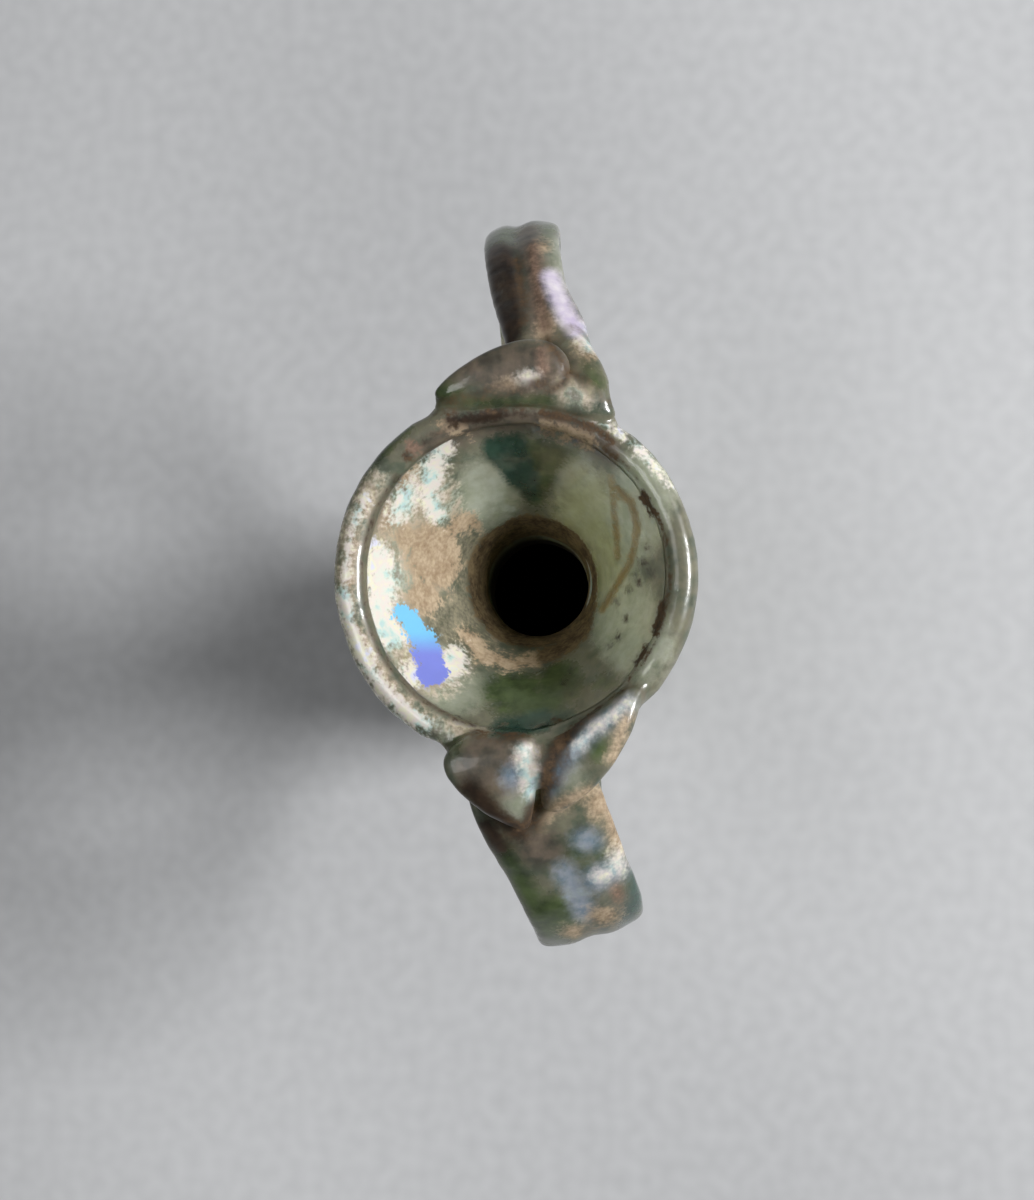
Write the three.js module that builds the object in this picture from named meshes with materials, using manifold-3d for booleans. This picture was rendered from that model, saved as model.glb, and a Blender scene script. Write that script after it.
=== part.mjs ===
// Blown glass perfume flask: a pear-shaped body on a flat foot, a narrow neck, a funnel
// mouth with its rim folded in, and two strap handles drawn from the shoulder to the rim,
// where the hot glass was folded over the edge. All of it is fused into one piece of glass.
// Millimetres, +Z up, origin at the centre of the foot's underside. The narrow handle
// stands along +X and the broad handle along -X.

import * as THREE from "three";
import { mergeVertices } from "three/addons/utils/BufferGeometryUtils.js";
import Module from "manifold-3d";

// Driving dimensions of the blown vessel
const HEIGHT = 100; // foot to the crest of the rim
const RIM_RADIUS = 21.2;
const BEAD_WIDTH = 3.8; // the folded rim, measured across
const BEAD_HEIGHT = 3.4;
const BEAD_FROM = -55; // degrees round the bead, where it leaves the outer wall
const BEAD_TO = 205; // and where it meets the inner wall in a crease
const NECK_RADIUS = 8.2; // outside, at its waist
const NECK_LEVEL = 70;
const BODY_RADIUS = 17.2;
const BODY_LEVEL = 25; // height of the widest part
const FOOT_RADIUS = 11.5;
const WALL = 1.9;
const FLOOR = 3.2; // glass under the cavity

// Driving dimensions of the handles
const NARROW_STRAP = { width: 9.2, thickness: 3.6, groove: 0.45, groovePlace: 0.16 };
const BROAD_STRAP = { width: 14.6, thickness: 3.4, groove: 0.25, groovePlace: -0.1 };
const FAN_THICKNESS = 4; // glass pressed against the edge of the rim
const LOBE_THICKNESS = 3.2; // thick folds beside it
const TONGUE_THICKNESS = 2.8; // thin folds lying on top

// Fineness of the facets
const TURN_STEPS = 52;
const OUTER_STEPS = 22;
const INNER_STEPS = 19;
const BEAD_STEPS = 10;
const STRAP_RINGS = 26;
const STRAP_SIDES = 16;
const FOLD_RINGS = 14;
const FOLD_SIDES = 12;

// How square the ends and the section of a drawn band are
const STRAP_ENDS = 12;
const FOLD_ENDS = 4;
const SECTION_POWER = 0.88;
const GROOVE_SPREAD = 0.26;

const UP = new THREE.Vector3(0, 0, 1);

const glass = new THREE.MeshStandardMaterial({
  color: 0x97a083,
  roughness: 0.35,
  metalness: 0,
});

const wasm = await Module();
wasm.setup();

/** Turns a closed geometry into a solid that can be joined and cut. */
function solidFrom(geometry) {
  const bare = geometry.clone();
  bare.deleteAttribute("normal");
  bare.deleteAttribute("uv");
  const merged = mergeVertices(bare, 1e-4);
  const index = merged.getIndex().array;
  const triangles = [];
  for (let i = 0; i < index.length; i += 3) {
    const [a, b, c] = [index[i], index[i + 1], index[i + 2]];
    if (a !== b && b !== c && c !== a) triangles.push(a, b, c);
  }
  return new wasm.Manifold(
    new wasm.Mesh({
      numProp: 3,
      vertProperties: new Float32Array(merged.getAttribute("position").array),
      triVerts: new Uint32Array(triangles),
    }),
  );
}

/** Gives a solid back as a geometry. */
function geometryFrom(solid) {
  const mesh = solid.getMesh();
  const geometry = new THREE.BufferGeometry();
  geometry.setAttribute("position", new THREE.BufferAttribute(mesh.vertProperties, 3));
  geometry.setIndex(new THREE.BufferAttribute(mesh.triVerts, 1));
  geometry.computeVertexNormals();
  return geometry;
}

/** Revolves a profile of (radius, height) points, which starts and ends on the axis. */
function revolve(profile) {
  const geometry = new THREE.LatheGeometry(profile, TURN_STEPS);
  geometry.rotateX(Math.PI / 2);
  return solidFrom(geometry);
}

/** The outside of the wall, from the edge of the foot to the underside of the rim. */
function outerWall() {
  const beadRadius = BEAD_WIDTH / 2;
  return new THREE.SplineCurve([
    new THREE.Vector2(FOOT_RADIUS, 0),
    new THREE.Vector2(FOOT_RADIUS + WALL, WALL),
    new THREE.Vector2(0.93 * BODY_RADIUS, 0.4 * BODY_LEVEL),
    new THREE.Vector2(BODY_RADIUS, BODY_LEVEL),
    new THREE.Vector2(0.87 * BODY_RADIUS, BODY_LEVEL + 14),
    new THREE.Vector2(1.42 * NECK_RADIUS, NECK_LEVEL - 20),
    new THREE.Vector2(1.07 * NECK_RADIUS, NECK_LEVEL - 9),
    new THREE.Vector2(NECK_RADIUS, NECK_LEVEL),
    new THREE.Vector2(1.07 * NECK_RADIUS, NECK_LEVEL + 8),
    new THREE.Vector2(1.4 * NECK_RADIUS, NECK_LEVEL + 14.5),
    new THREE.Vector2(0.74 * RIM_RADIUS, HEIGHT - 8.8),
    new THREE.Vector2(RIM_RADIUS - 0.75 * beadRadius, HEIGHT - BEAD_HEIGHT + 0.1),
  ]);
}

/** The inside of the wall, one wall thickness in from the outside, from the mouth down to the floor. */
function innerWall() {
  const outside = outerWall();
  const lowest = 2 / (outside.points.length - 1);
  const points = [];
  for (let i = 0; i <= INNER_STEPS; i++) {
    const t = THREE.MathUtils.lerp(1, lowest, i / INNER_STEPS);
    const point = outside.getPoint(t);
    const along = outside.getTangent(t);
    points.push(new THREE.Vector2(point.x - WALL * along.y, point.y + WALL * along.x));
  }
  points.push(new THREE.Vector2(0.87 * FOOT_RADIUS, 1.5 * FLOOR));
  points.push(new THREE.Vector2(0.6 * FOOT_RADIUS, 1.06 * FLOOR));
  points.push(new THREE.Vector2(0, FLOOR));
  return points;
}

/** The folded rim, an oval bead from the underside over the crest to the crease inside. */
function rimBead() {
  const centre = new THREE.Vector2(RIM_RADIUS - BEAD_WIDTH / 2, HEIGHT - BEAD_HEIGHT / 2);
  const points = [];
  for (let i = 0; i <= BEAD_STEPS; i++) {
    const degrees = THREE.MathUtils.lerp(BEAD_FROM, BEAD_TO, i / BEAD_STEPS);
    const angle = THREE.MathUtils.degToRad(degrees);
    const out = (BEAD_WIDTH / 2) * Math.cos(angle);
    const high = (BEAD_HEIGHT / 2) * Math.sin(angle);
    points.push(new THREE.Vector2(centre.x + out, centre.y + high));
  }
  return points;
}

/** The hollow vessel, from the foot over the rim and down the inside to the floor. */
function blownVessel() {
  const foot = [new THREE.Vector2(0, 0)];
  return revolve([...foot, ...outerWall().getPoints(OUTER_STEPS), ...rimBead(), ...innerWall()]);
}

/** The space inside the wall, up to and through the mouth. */
function hollow() {
  const inside = innerWall().reverse();
  const mouth = inside.at(-1).x;
  const above = HEIGHT + FAN_THICKNESS;
  return revolve([...inside, new THREE.Vector2(mouth, above), new THREE.Vector2(0, above)]);
}

/** Value of a list at t from 0 to 1, smoothly between its entries. */
function valueAt(list, t) {
  const curve = new THREE.SplineCurve(list.map((value, i) => new THREE.Vector2(i, value)));
  return curve.getPoint(t).y;
}

/**
 * A band of glass: an oval section carried along a path, swelling from a point at each end.
 * The section lies across the given side vector, or level where there is none, and its upper
 * face may have a groove between two ribs.
 */
function band({ path, widths, thickness, ends, rings, sides, side, groove = 0, groovePlace = 0 }) {
  const curve = new THREE.CatmullRomCurve3(path.map((p) => new THREE.Vector3(...p)));
  const vertices = [];
  const faces = [];
  for (let i = 1; i < rings; i++) {
    const t = (i / rings + (1 - Math.cos((Math.PI * i) / rings)) / 2) / 2;
    const swell = Math.sqrt(1 - Math.abs(2 * t - 1) ** ends);
    const centre = curve.getPoint(t);
    const tangent = curve.getTangent(t);
    const across = side ? side.clone() : UP.clone().cross(tangent);
    across.addScaledVector(tangent, -across.dot(tangent)).normalize();
    const rise = tangent.clone().cross(across);
    const halfWidth = (valueAt(widths, t) / 2) * swell;
    const halfThickness = (thickness / 2) * swell;
    for (let j = 0; j < sides; j++) {
      const angle = (2 * Math.PI * j) / sides;
      const u = Math.sign(Math.cos(angle)) * Math.abs(Math.cos(angle)) ** SECTION_POWER;
      const v = Math.sign(Math.sin(angle)) * Math.abs(Math.sin(angle)) ** SECTION_POWER;
      const dip = v > 0 ? groove * swell * v * Math.exp(-(((u - groovePlace) / GROOVE_SPREAD) ** 2)) : 0;
      const point = centre.clone();
      point.addScaledVector(across, halfWidth * u);
      point.addScaledVector(rise, halfThickness * v - dip);
      vertices.push(...point.toArray());
    }
  }
  const ringCount = rings - 1;
  for (let i = 0; i < ringCount - 1; i++) {
    for (let j = 0; j < sides; j++) {
      const [a, b] = [i * sides + j, i * sides + ((j + 1) % sides)];
      faces.push(a, b, a + sides, b, b + sides, a + sides);
    }
  }
  const first = vertices.length / 3;
  vertices.push(...curve.getPoint(0).toArray(), ...curve.getPoint(1).toArray());
  for (let j = 0; j < sides; j++) {
    const next = (j + 1) % sides;
    const last = (ringCount - 1) * sides;
    faces.push(first, next, j, first + 1, last + j, last + next);
  }
  const geometry = new THREE.BufferGeometry();
  geometry.setAttribute("position", new THREE.Float32BufferAttribute(vertices, 3));
  geometry.setIndex(faces);
  return solidFrom(geometry);
}

/** A strap drawn from under the rim outwards, round the bend and back in to the shoulder. */
function strap(path, widths, side, form) {
  return band({
    path,
    widths: widths.map((share) => share * form.width),
    thickness: form.thickness,
    ends: STRAP_ENDS,
    rings: STRAP_RINGS,
    sides: STRAP_SIDES,
    side,
    groove: form.groove,
    groovePlace: form.groovePlace,
  });
}

/** A fold of glass pressed down along a short path. */
function fold(path, widths, thickness) {
  return band({ path, widths, thickness, ends: FOLD_ENDS, rings: FOLD_RINGS, sides: FOLD_SIDES });
}

/** A point on a circle about the axis, by radius, angle from +X in degrees, and height. */
function ringPoint(radius, degrees, height) {
  const angle = THREE.MathUtils.degToRad(degrees);
  return [radius * Math.cos(angle), radius * Math.sin(angle), height];
}

/** The narrow handle: a two-ribbed strap, a fan on the rim and a tongue folded across it. */
function narrowHandle() {
  const drawn = strap(
    [
      [16.6, -5.4, HEIGHT - 2.8],
      [26.8, -3.9, HEIGHT - 4.4],
      [34.2, -1, HEIGHT - 10],
      [41.2, 0.7, HEIGHT - 16.6],
      [44.6, 1.3, HEIGHT - 24],
      [40.8, 1.6, HEIGHT - 32.4],
      [28, 1.4, HEIGHT - 43],
      [17.2, 0.8, HEIGHT - 50],
      [13.4, 0.3, HEIGHT - 56],
    ],
    [1.4, 1.1, 1, 1.02, 1, 0.96, 1, 1.3, 1.5],
    new THREE.Vector3(-0.12, 0.99, 0),
    NARROW_STRAP,
  );
  const fan = fold(
    [
      ringPoint(21.4, 26, HEIGHT - 1.6),
      ringPoint(21.5, 12, HEIGHT - 0.9),
      ringPoint(21.7, -4, HEIGHT - 0.7),
      ringPoint(21.7, -18, HEIGHT - 0.8),
      ringPoint(21.5, -34, HEIGHT - 1),
    ],
    [3.2, 4.4, 4.8, 4.8, 4.2],
    FAN_THICKNESS,
  );
  const tongue = fold(
    [
      [20.6, 9.4, HEIGHT - 0.3],
      [22.4, 4.6, HEIGHT + 0.3],
      [23.7, 0, HEIGHT + 0.4],
      [24, -3.2, HEIGHT + 0.4],
      [23, -6.6, HEIGHT + 0.3],
    ],
    [3, 4.6, 6, 6.2, 5.4],
    TONGUE_THICKNESS,
  );
  const ridge = fold(
    [
      [33, -3.4, HEIGHT - 8.8],
      [28, -5.2, HEIGHT - 5],
      [23.6, -7.4, HEIGHT - 1.9],
      [18.6, -10.8, HEIGHT - 0.2],
    ],
    [3, 5.2, 6, 4.4],
    LOBE_THICKNESS,
  );
  return drawn.add(fan).add(tongue).add(ridge);
}

/** The broad handle: a flat strap, a fan on the rim, a pointed tongue turned back and a side lobe. */
function broadHandle() {
  const drawn = strap(
    [
      [-16.6, -0.2, HEIGHT - 2.8],
      [-25.5, -2.2, HEIGHT - 4.3],
      [-33, -4.9, HEIGHT - 10.6],
      [-39.2, -6.9, HEIGHT - 17],
      [-42, -7, HEIGHT - 24],
      [-38.2, -4.8, HEIGHT - 32.4],
      [-27, -1.2, HEIGHT - 43],
      [-17.2, 0.2, HEIGHT - 50],
      [-13.4, 0.3, HEIGHT - 56],
    ],
    [1.1, 1.05, 0.97, 0.95, 0.9, 0.86, 0.84, 0.95, 1.05],
    new THREE.Vector3(0.31, -0.95, 0),
    BROAD_STRAP,
  );
  const fan = fold(
    [
      ringPoint(20.6, 157, HEIGHT - 1.4),
      ringPoint(21.6, 172, HEIGHT - 0.9),
      ringPoint(21.8, 190, HEIGHT - 0.9),
      ringPoint(21.2, 206, HEIGHT - 0.6),
      ringPoint(20, 222, HEIGHT - 0.5),
    ],
    [4, 5.6, 5.6, 5, 3],
    FAN_THICKNESS,
  );
  const tongue = fold(
    [
      [-17.6, 3.4, HEIGHT - 0.2],
      [-20.8, 2.4, HEIGHT + 0.6],
      [-25, 0.7, HEIGHT - 0.6],
      [-29, -1.2, HEIGHT - 3],
    ],
    [12, 11.5, 7.6, 3],
    TONGUE_THICKNESS,
  );
  const lobe = fold(
    [
      [-12.6, -14.8, HEIGHT - 0.3],
      [-18.4, -10.2, HEIGHT + 0.3],
      [-22.6, -6.6, HEIGHT - 0.6],
      [-27, -3.8, HEIGHT - 2.8],
    ],
    [3.4, 6, 6.2, 4],
    LOBE_THICKNESS,
  );
  return drawn.add(fan).add(tongue).add(lobe);
}

/** The whole flask: the vessel with both handles fused to it and its hollow kept clear. */
function flask() {
  const handles = narrowHandle().add(broadHandle()).subtract(hollow());
  const mesh = new THREE.Mesh(geometryFrom(blownVessel().add(handles)), glass);
  mesh.name = "flask";
  return mesh;
}

const part = new THREE.Group();
part.add(flask());

export default part;
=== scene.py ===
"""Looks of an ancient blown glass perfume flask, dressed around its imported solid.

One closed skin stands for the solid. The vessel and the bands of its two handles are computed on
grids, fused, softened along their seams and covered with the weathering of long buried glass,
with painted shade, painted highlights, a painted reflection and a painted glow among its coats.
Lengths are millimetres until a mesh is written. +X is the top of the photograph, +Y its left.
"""

import logging
from dataclasses import dataclass, field
from enum import Enum

import bpy
import numpy as np
from mathutils import Matrix, Vector

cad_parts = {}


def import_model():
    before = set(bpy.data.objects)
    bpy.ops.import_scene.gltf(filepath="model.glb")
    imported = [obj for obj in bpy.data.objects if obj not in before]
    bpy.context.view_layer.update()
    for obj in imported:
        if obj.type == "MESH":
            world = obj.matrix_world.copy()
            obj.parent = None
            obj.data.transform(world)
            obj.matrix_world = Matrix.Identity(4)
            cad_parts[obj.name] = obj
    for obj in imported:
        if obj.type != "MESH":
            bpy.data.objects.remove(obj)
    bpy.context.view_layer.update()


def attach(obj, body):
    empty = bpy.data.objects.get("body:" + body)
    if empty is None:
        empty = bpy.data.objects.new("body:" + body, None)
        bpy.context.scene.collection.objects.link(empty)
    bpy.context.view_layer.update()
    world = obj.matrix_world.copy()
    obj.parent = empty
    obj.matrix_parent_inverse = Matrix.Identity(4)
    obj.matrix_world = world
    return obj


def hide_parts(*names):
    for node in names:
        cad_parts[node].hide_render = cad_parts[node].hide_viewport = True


Array = np.ndarray
Path = tuple[tuple[float, ...], ...]

LOG = logging.getLogger("perfume_flask")
MM = 0.001
UP = np.array([0.0, 0.0, 1.0])


class Part(Enum):
    """Where a face of the flask comes from, as numbered on the faces of its skin."""

    OUTSIDE = 0
    RIM = 1
    INSIDE = 2
    NARROW = 10
    BROAD = 20


PART_ATTRIBUTE = "part"
BANDS_PER_HANDLE = 10


def smooth_step(low: float, high: float, value: Array) -> Array:
    """Ease from 0 at low to 1 at high with the cubic 3s^2 - 2s^3.

    Args:
        low: Value where the step starts.
        high: Value where it ends.
        value: Values to map.

    Returns:
        The eased values.
    """
    share = np.clip((value - low) / (high - low), 0.0, 1.0)
    return share * share * (3.0 - 2.0 * share)


def waves(points: Array, length: float, seed: int, count: int = 14) -> Array:
    """Give a smooth random value to each point.

    The value is a sum of sine waves that run in random directions, with wavelengths around the
    given one and random phases, divided so that it mostly lies between -1 and 1.

    Args:
        points: Points in millimetres.
        length: Typical wavelength in millimetres.
        seed: Seed of the directions and phases.
        count: Number of waves.

    Returns:
        One value for each point.
    """
    rng = np.random.default_rng(seed)
    ways = rng.normal(size=(count, 3))
    ways /= np.linalg.norm(ways, axis=1, keepdims=True)
    rates = 2.0 * np.pi / (length * rng.uniform(0.7, 1.5, count))
    phases = rng.uniform(0.0, 2.0 * np.pi, count)
    return np.sin(points @ (ways * rates[:, None]).T + phases).sum(axis=1) / np.sqrt(count)


@dataclass(frozen=True)
class SmoothCurve:
    """A curve through points, made of one cubic between each pair of neighbours.

    The slope at a point comes from the points beside it. On an even curve it is half the step
    between them and the ends repeat. Otherwise each span is weighed by the square root of its
    length and the ends run on straight.
    """

    points: Array
    even: bool = False

    def at(self, t: Array) -> Array:
        """Find the points of the curve.

        Args:
            t: Places on the curve, from 0 at its start to 1 at its end.

        Returns:
            One point for each place.
        """
        through = np.asarray(self.points, float)
        before = through[0] if self.even else 2.0 * through[0] - through[1]
        after = through[-1] if self.even else 2.0 * through[-1] - through[-2]
        padded = np.vstack([before, through, after])
        place = np.clip(t, 0.0, 1.0) * (len(through) - 1)
        span = np.minimum(place.astype(int), len(through) - 2)
        s = (place - span)[:, None]
        p0, p1, p2, p3 = (padded[span + k] for k in range(4))
        if self.even:
            leave, arrive = (p2 - p0) / 2.0, (p3 - p1) / 2.0
        else:
            d0, d1, d2 = (
                np.sqrt(np.linalg.norm(b - a, axis=1, keepdims=True))
                for a, b in ((p0, p1), (p1, p2), (p2, p3))
            )
            leave = d1 * ((p1 - p0) / d0 - (p2 - p0) / (d0 + d1) + (p2 - p1) / d1)
            arrive = d1 * ((p2 - p1) / d1 - (p3 - p1) / (d1 + d2) + (p3 - p2) / d2)
        rise = 3.0 * s**2 - 2.0 * s**3
        return (1 - rise) * p1 + rise * p2 + (s**3 - 2 * s**2 + s) * leave + (s**3 - s**2) * arrive

    def direction(self, t: Array) -> Array:
        """Find unit tangents, from the step between two places close to each t.

        Args:
            t: Places on the curve.

        Returns:
            One unit vector for each place.
        """
        near = 1e-4
        step = self.at(np.clip(t + near, 0.0, 1.0)) - self.at(np.clip(t - near, 0.0, 1.0))
        return step / np.linalg.norm(step, axis=1, keepdims=True)


@dataclass
class Shell:
    """A closed skin of rings: points in millimetres, faces, and the part number of each face."""

    points: Array
    faces: list[list[int]]
    parts: Array

    @classmethod
    def from_rings(cls, rings: Array, start: Array, end: Array, parts: Array) -> "Shell":
        """Close a stack of rings into a skin.

        Neighbouring rings are joined by quads, and the first and last ring are closed by fans of
        triangles to the two end points. Rings turn left-handed about the way they are stacked
        outwards, so faces point out.

        Args:
            rings: Points as an array of rings by sides by three.
            start: Point that closes the first ring.
            end: Point that closes the last ring.
            parts: Part number of the first fan, of each row of quads and of the last fan.

        Returns:
            The closed skin.
        """
        count, sides = rings.shape[:2]
        here = np.arange(count * sides).reshape(count, sides)
        beside = np.roll(here, -1, axis=1)
        quads = np.stack([here[:-1], beside[:-1], beside[1:], here[1:]], axis=-1).reshape(-1, 4)
        first = np.full(sides, count * sides)
        fans = (
            np.stack([first, beside[0], here[0]], axis=-1),
            np.stack([first + 1, here[-1], beside[-1]], axis=-1),
        )
        faces = fans[0].tolist() + quads.tolist() + fans[1].tolist()
        points = np.vstack([rings.reshape(-1, 3), start, end])
        return cls(points, faces, np.repeat(parts, sides))

    def to_object(self, name: str) -> bpy.types.Object:
        """Write the skin as a mesh object in metres.

        Args:
            name: Name of the object.

        Returns:
            The new object, linked to the scene.
        """
        mesh = bpy.data.meshes.new(name)
        mesh.from_pydata((self.points * MM).tolist(), [], self.faces)
        numbers = mesh.attributes.new(PART_ATTRIBUTE, "INT", "FACE")
        numbers.data.foreach_set("value", self.parts.astype(np.int32))
        made = bpy.data.objects.new(name, mesh)
        bpy.context.scene.collection.objects.link(made)
        return made


@dataclass
class BlownVessel:
    """The blown vessel: flat foot, pear-shaped body, narrow neck, funnel and folded rim."""

    height: float = 100.0
    rim_radius: float = 21.2
    bead_width: float = 3.8
    bead_height: float = 3.4
    bead_from: float = -55.0
    bead_to: float = 205.0
    neck_radius: float = 8.2
    neck_level: float = 70.0
    body_radius: float = 17.2
    body_level: float = 25.0
    foot_radius: float = 11.5
    wall: float = 1.9
    floor: float = 3.2
    scar_height: float = 0.6
    scar_radius: float = 4.2
    lip_level: float = 79.0
    lip_reach: float = 9.0
    lip_shift: tuple[float, float] = (0.4, -0.4)
    waver: float = 0.006
    columns: int = 224
    foot_rows: int = 9
    outer_rows: int = 66
    bead_rows: int = 22
    inner_rows: int = 84
    floor_rows: int = 14
    mouth_reach: float = 4.0
    trim_gap: float = 0.25

    def outer_curve(self) -> SmoothCurve:
        """Draw the outside of the wall as (radius, height), from the foot's edge to the rim."""
        neck, level = self.neck_radius, self.neck_level
        under_rim = self.rim_radius - 0.375 * self.bead_width
        points = (
            (self.foot_radius, 0.0),
            (self.foot_radius + self.wall, self.wall),
            (0.93 * self.body_radius, 0.4 * self.body_level),
            (self.body_radius, self.body_level),
            (0.87 * self.body_radius, self.body_level + 14.0),
            (1.42 * neck, level - 20.0),
            (1.07 * neck, level - 9.0),
            (neck, level),
            (1.07 * neck, level + 8.0),
            (1.4 * neck, level + 14.5),
            (0.74 * self.rim_radius, self.height - 8.8),
            (under_rim, self.height - self.bead_height + 0.1),
        )
        return SmoothCurve(np.array(points), even=True)

    def foot_profile(self) -> Array:
        """Draw the underside from near its centre outwards, with the scar of the blowing rod.

        The scar is a shallow hollow whose height falls off with the square of the radius.

        Returns:
            Points as (radius, height).
        """
        radius = np.linspace(0.06, 1.0, self.foot_rows, endpoint=False) * self.foot_radius
        return np.stack([radius, self.scar_height * np.exp(-((radius / self.scar_radius) ** 2))], axis=1)

    def bead_profile(self) -> Array:
        """Draw the folded rim as an oval arc, from the underside over the crest to the crease."""
        angle = np.radians(np.linspace(self.bead_from, self.bead_to, self.bead_rows))
        out = self.rim_radius + self.bead_width / 2.0 * (np.cos(angle) - 1.0)
        high = self.height + self.bead_height / 2.0 * (np.sin(angle) - 1.0)
        return np.stack([out, high], axis=1)

    def inner_profile(self) -> Array:
        """Draw the inside one wall thickness in from the outside, then round to the floor.

        Returns:
            Points as (radius, height), from the mouth down to just before the axis.
        """
        outside = self.outer_curve()
        lowest = 2.0 / (len(outside.points) - 1)
        t = np.linspace(1.0, lowest, self.inner_rows)
        along = outside.direction(t)
        inside = outside.at(t) + self.wall * np.stack([-along[:, 1], along[:, 0]], axis=1)
        turn = ((0.87, 1.5), (0.6, 1.06), (0.0, 1.0))
        bottom = np.array(turn) * (self.foot_radius, self.floor)
        round_in = SmoothCurve(np.vstack([inside[-1], bottom]), even=True)
        down = np.linspace(0.0, 1.0, self.floor_rows + 1)[1:-1]
        return np.vstack([inside, round_in.at(down)])

    def revolve(self, profile: Array) -> Array:
        """Turn a profile about the axis, with the slight waver of hand-blown glass.

        The radius grows and shrinks by a small share with two and three swells to the turn, and
        the axis leans aside round the lip of the neck, by a bell-shaped share of the height.

        Args:
            profile: Points as (radius, height).

        Returns:
            Rings of points.
        """
        angle = np.linspace(0.0, 2.0 * np.pi, self.columns, endpoint=False)
        radius, high = profile[:, :1], profile[:, 1:]
        free = smooth_step(0.0, self.body_level, high)
        swell = np.cos(2.0 * angle + 0.06 * high) + 0.6 * np.cos(3.0 * angle + 1.0 - 0.03 * high)
        radius = radius * (1.0 + self.waver * free * swell)
        lean = np.exp(-(((high - self.lip_level) / self.lip_reach) ** 2))
        across = radius * np.cos(angle) + self.lip_shift[0] * lean
        aside = radius * np.sin(angle) + self.lip_shift[1] * lean
        return np.stack([across, aside, np.broadcast_to(high, across.shape)], axis=-1)

    def skin(self) -> Shell:
        """Close the vessel, from the foot over the rim and down the inside to the floor."""
        outer = self.outer_curve().at(np.linspace(0.0, 1.0, self.outer_rows))
        runs = (self.foot_profile(), outer, self.bead_profile(), self.inner_profile())
        kinds = (Part.OUTSIDE, Part.OUTSIDE, Part.RIM, Part.INSIDE)
        parts = np.concatenate([np.full(len(run), kind.value) for run, kind in zip(runs, kinds)])
        centre = np.array([0.0, 0.0, self.scar_height])
        parts = np.append(parts, Part.INSIDE.value)
        return Shell.from_rings(self.revolve(np.vstack(runs)), centre, self.floor * UP, parts)

    def hollow(self) -> Shell:
        """Close the space inside the wall, up through the mouth, a little into the glass below it."""
        inside = self.inner_profile()[::-1]
        deep = smooth_step(self.height - 4.0, self.height - 7.0, inside[:, 1])
        inside[:, 0] += self.trim_gap * deep
        top = self.height + self.mouth_reach
        rings = self.revolve(np.vstack([inside, (inside[-1, 0], top)]))
        parts = np.full(len(rings) + 1, Part.INSIDE.value)
        return Shell.from_rings(rings, self.floor * UP, top * UP, parts)


@dataclass
class Band:
    """A band of drawn glass: an oval section carried along a path, closing to a point at each end."""

    path: Path
    widths: tuple[float, ...]
    thickness: float
    ends: float = 4.0
    side: tuple[float, float, float] | None = None
    groove: float = 0.0
    groove_place: float = 0.0
    groove_spread: float = 0.26
    section_power: float = 0.88
    drawn_lines: float = 0.0
    line_count: float = 9.0
    rings: int = 64
    sides: int = 40

    def skin(self, part: int) -> Shell:
        """Carry the section along the path.

        At place t the half width and half thickness are scaled by sqrt(1 - |2t - 1|^ends). A point
        of the section lies at the cosine and sine of its angle, each raised to the section power.
        On the upper face a bell-shaped groove dips between two ribs, and fine drawn lines rise
        and fall as a cosine across the width.

        Args:
            part: Part number of the band's faces.

        Returns:
            The closed skin.
        """
        curve = SmoothCurve(np.array(self.path, float))
        step = np.arange(1, self.rings) / self.rings
        t = (step + (1.0 - np.cos(np.pi * step)) / 2.0) / 2.0
        swell = np.sqrt(1.0 - np.abs(2.0 * t - 1.0) ** self.ends)[:, None]
        along = curve.direction(t)
        across = np.cross(UP, along) if self.side is None else np.tile(self.side, (len(t), 1))
        across = across - along * np.sum(across * along, axis=1, keepdims=True)
        across /= np.linalg.norm(across, axis=1, keepdims=True)
        rise = np.cross(along, across)
        steps = np.arange(len(self.widths))
        shares = SmoothCurve(np.stack([steps, self.widths], axis=1), even=True)
        half_width = shares.at(t)[:, 1:] / 2.0 * swell
        angle = np.linspace(0.0, 2.0 * np.pi, self.sides, endpoint=False)
        u = np.sign(np.cos(angle)) * np.abs(np.cos(angle)) ** self.section_power
        v = np.sign(np.sin(angle)) * np.abs(np.sin(angle)) ** self.section_power
        upper = np.maximum(v, 0.0)
        dip = self.groove * upper * np.exp(-(((u - self.groove_place) / self.groove_spread) ** 2))
        dip = dip + self.drawn_lines * upper * np.cos(self.line_count * u)
        high = swell * (self.thickness / 2.0 * v - dip)
        rings = (
            curve.at(t)[:, None]
            + across[:, None] * (half_width * u)[..., None]
            + rise[:, None] * high[..., None]
        )
        tips = curve.at(np.array([0.0, 1.0]))
        return Shell.from_rings(rings, tips[0], tips[1], np.full(len(rings) + 1, part))


def ring_path(radius: tuple[float, ...], degrees: tuple[float, ...], high: tuple[float, ...]) -> Path:
    """Lay points on circles about the axis.

    Args:
        radius: Radius of each point.
        degrees: Angle of each point from +X.
        high: Height of each point.

    Returns:
        The points as (x, y, z).
    """
    angle = np.radians(degrees)
    points = np.stack([radius * np.cos(angle), radius * np.sin(angle), high], axis=1)
    return tuple(tuple(point) for point in points)


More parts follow.
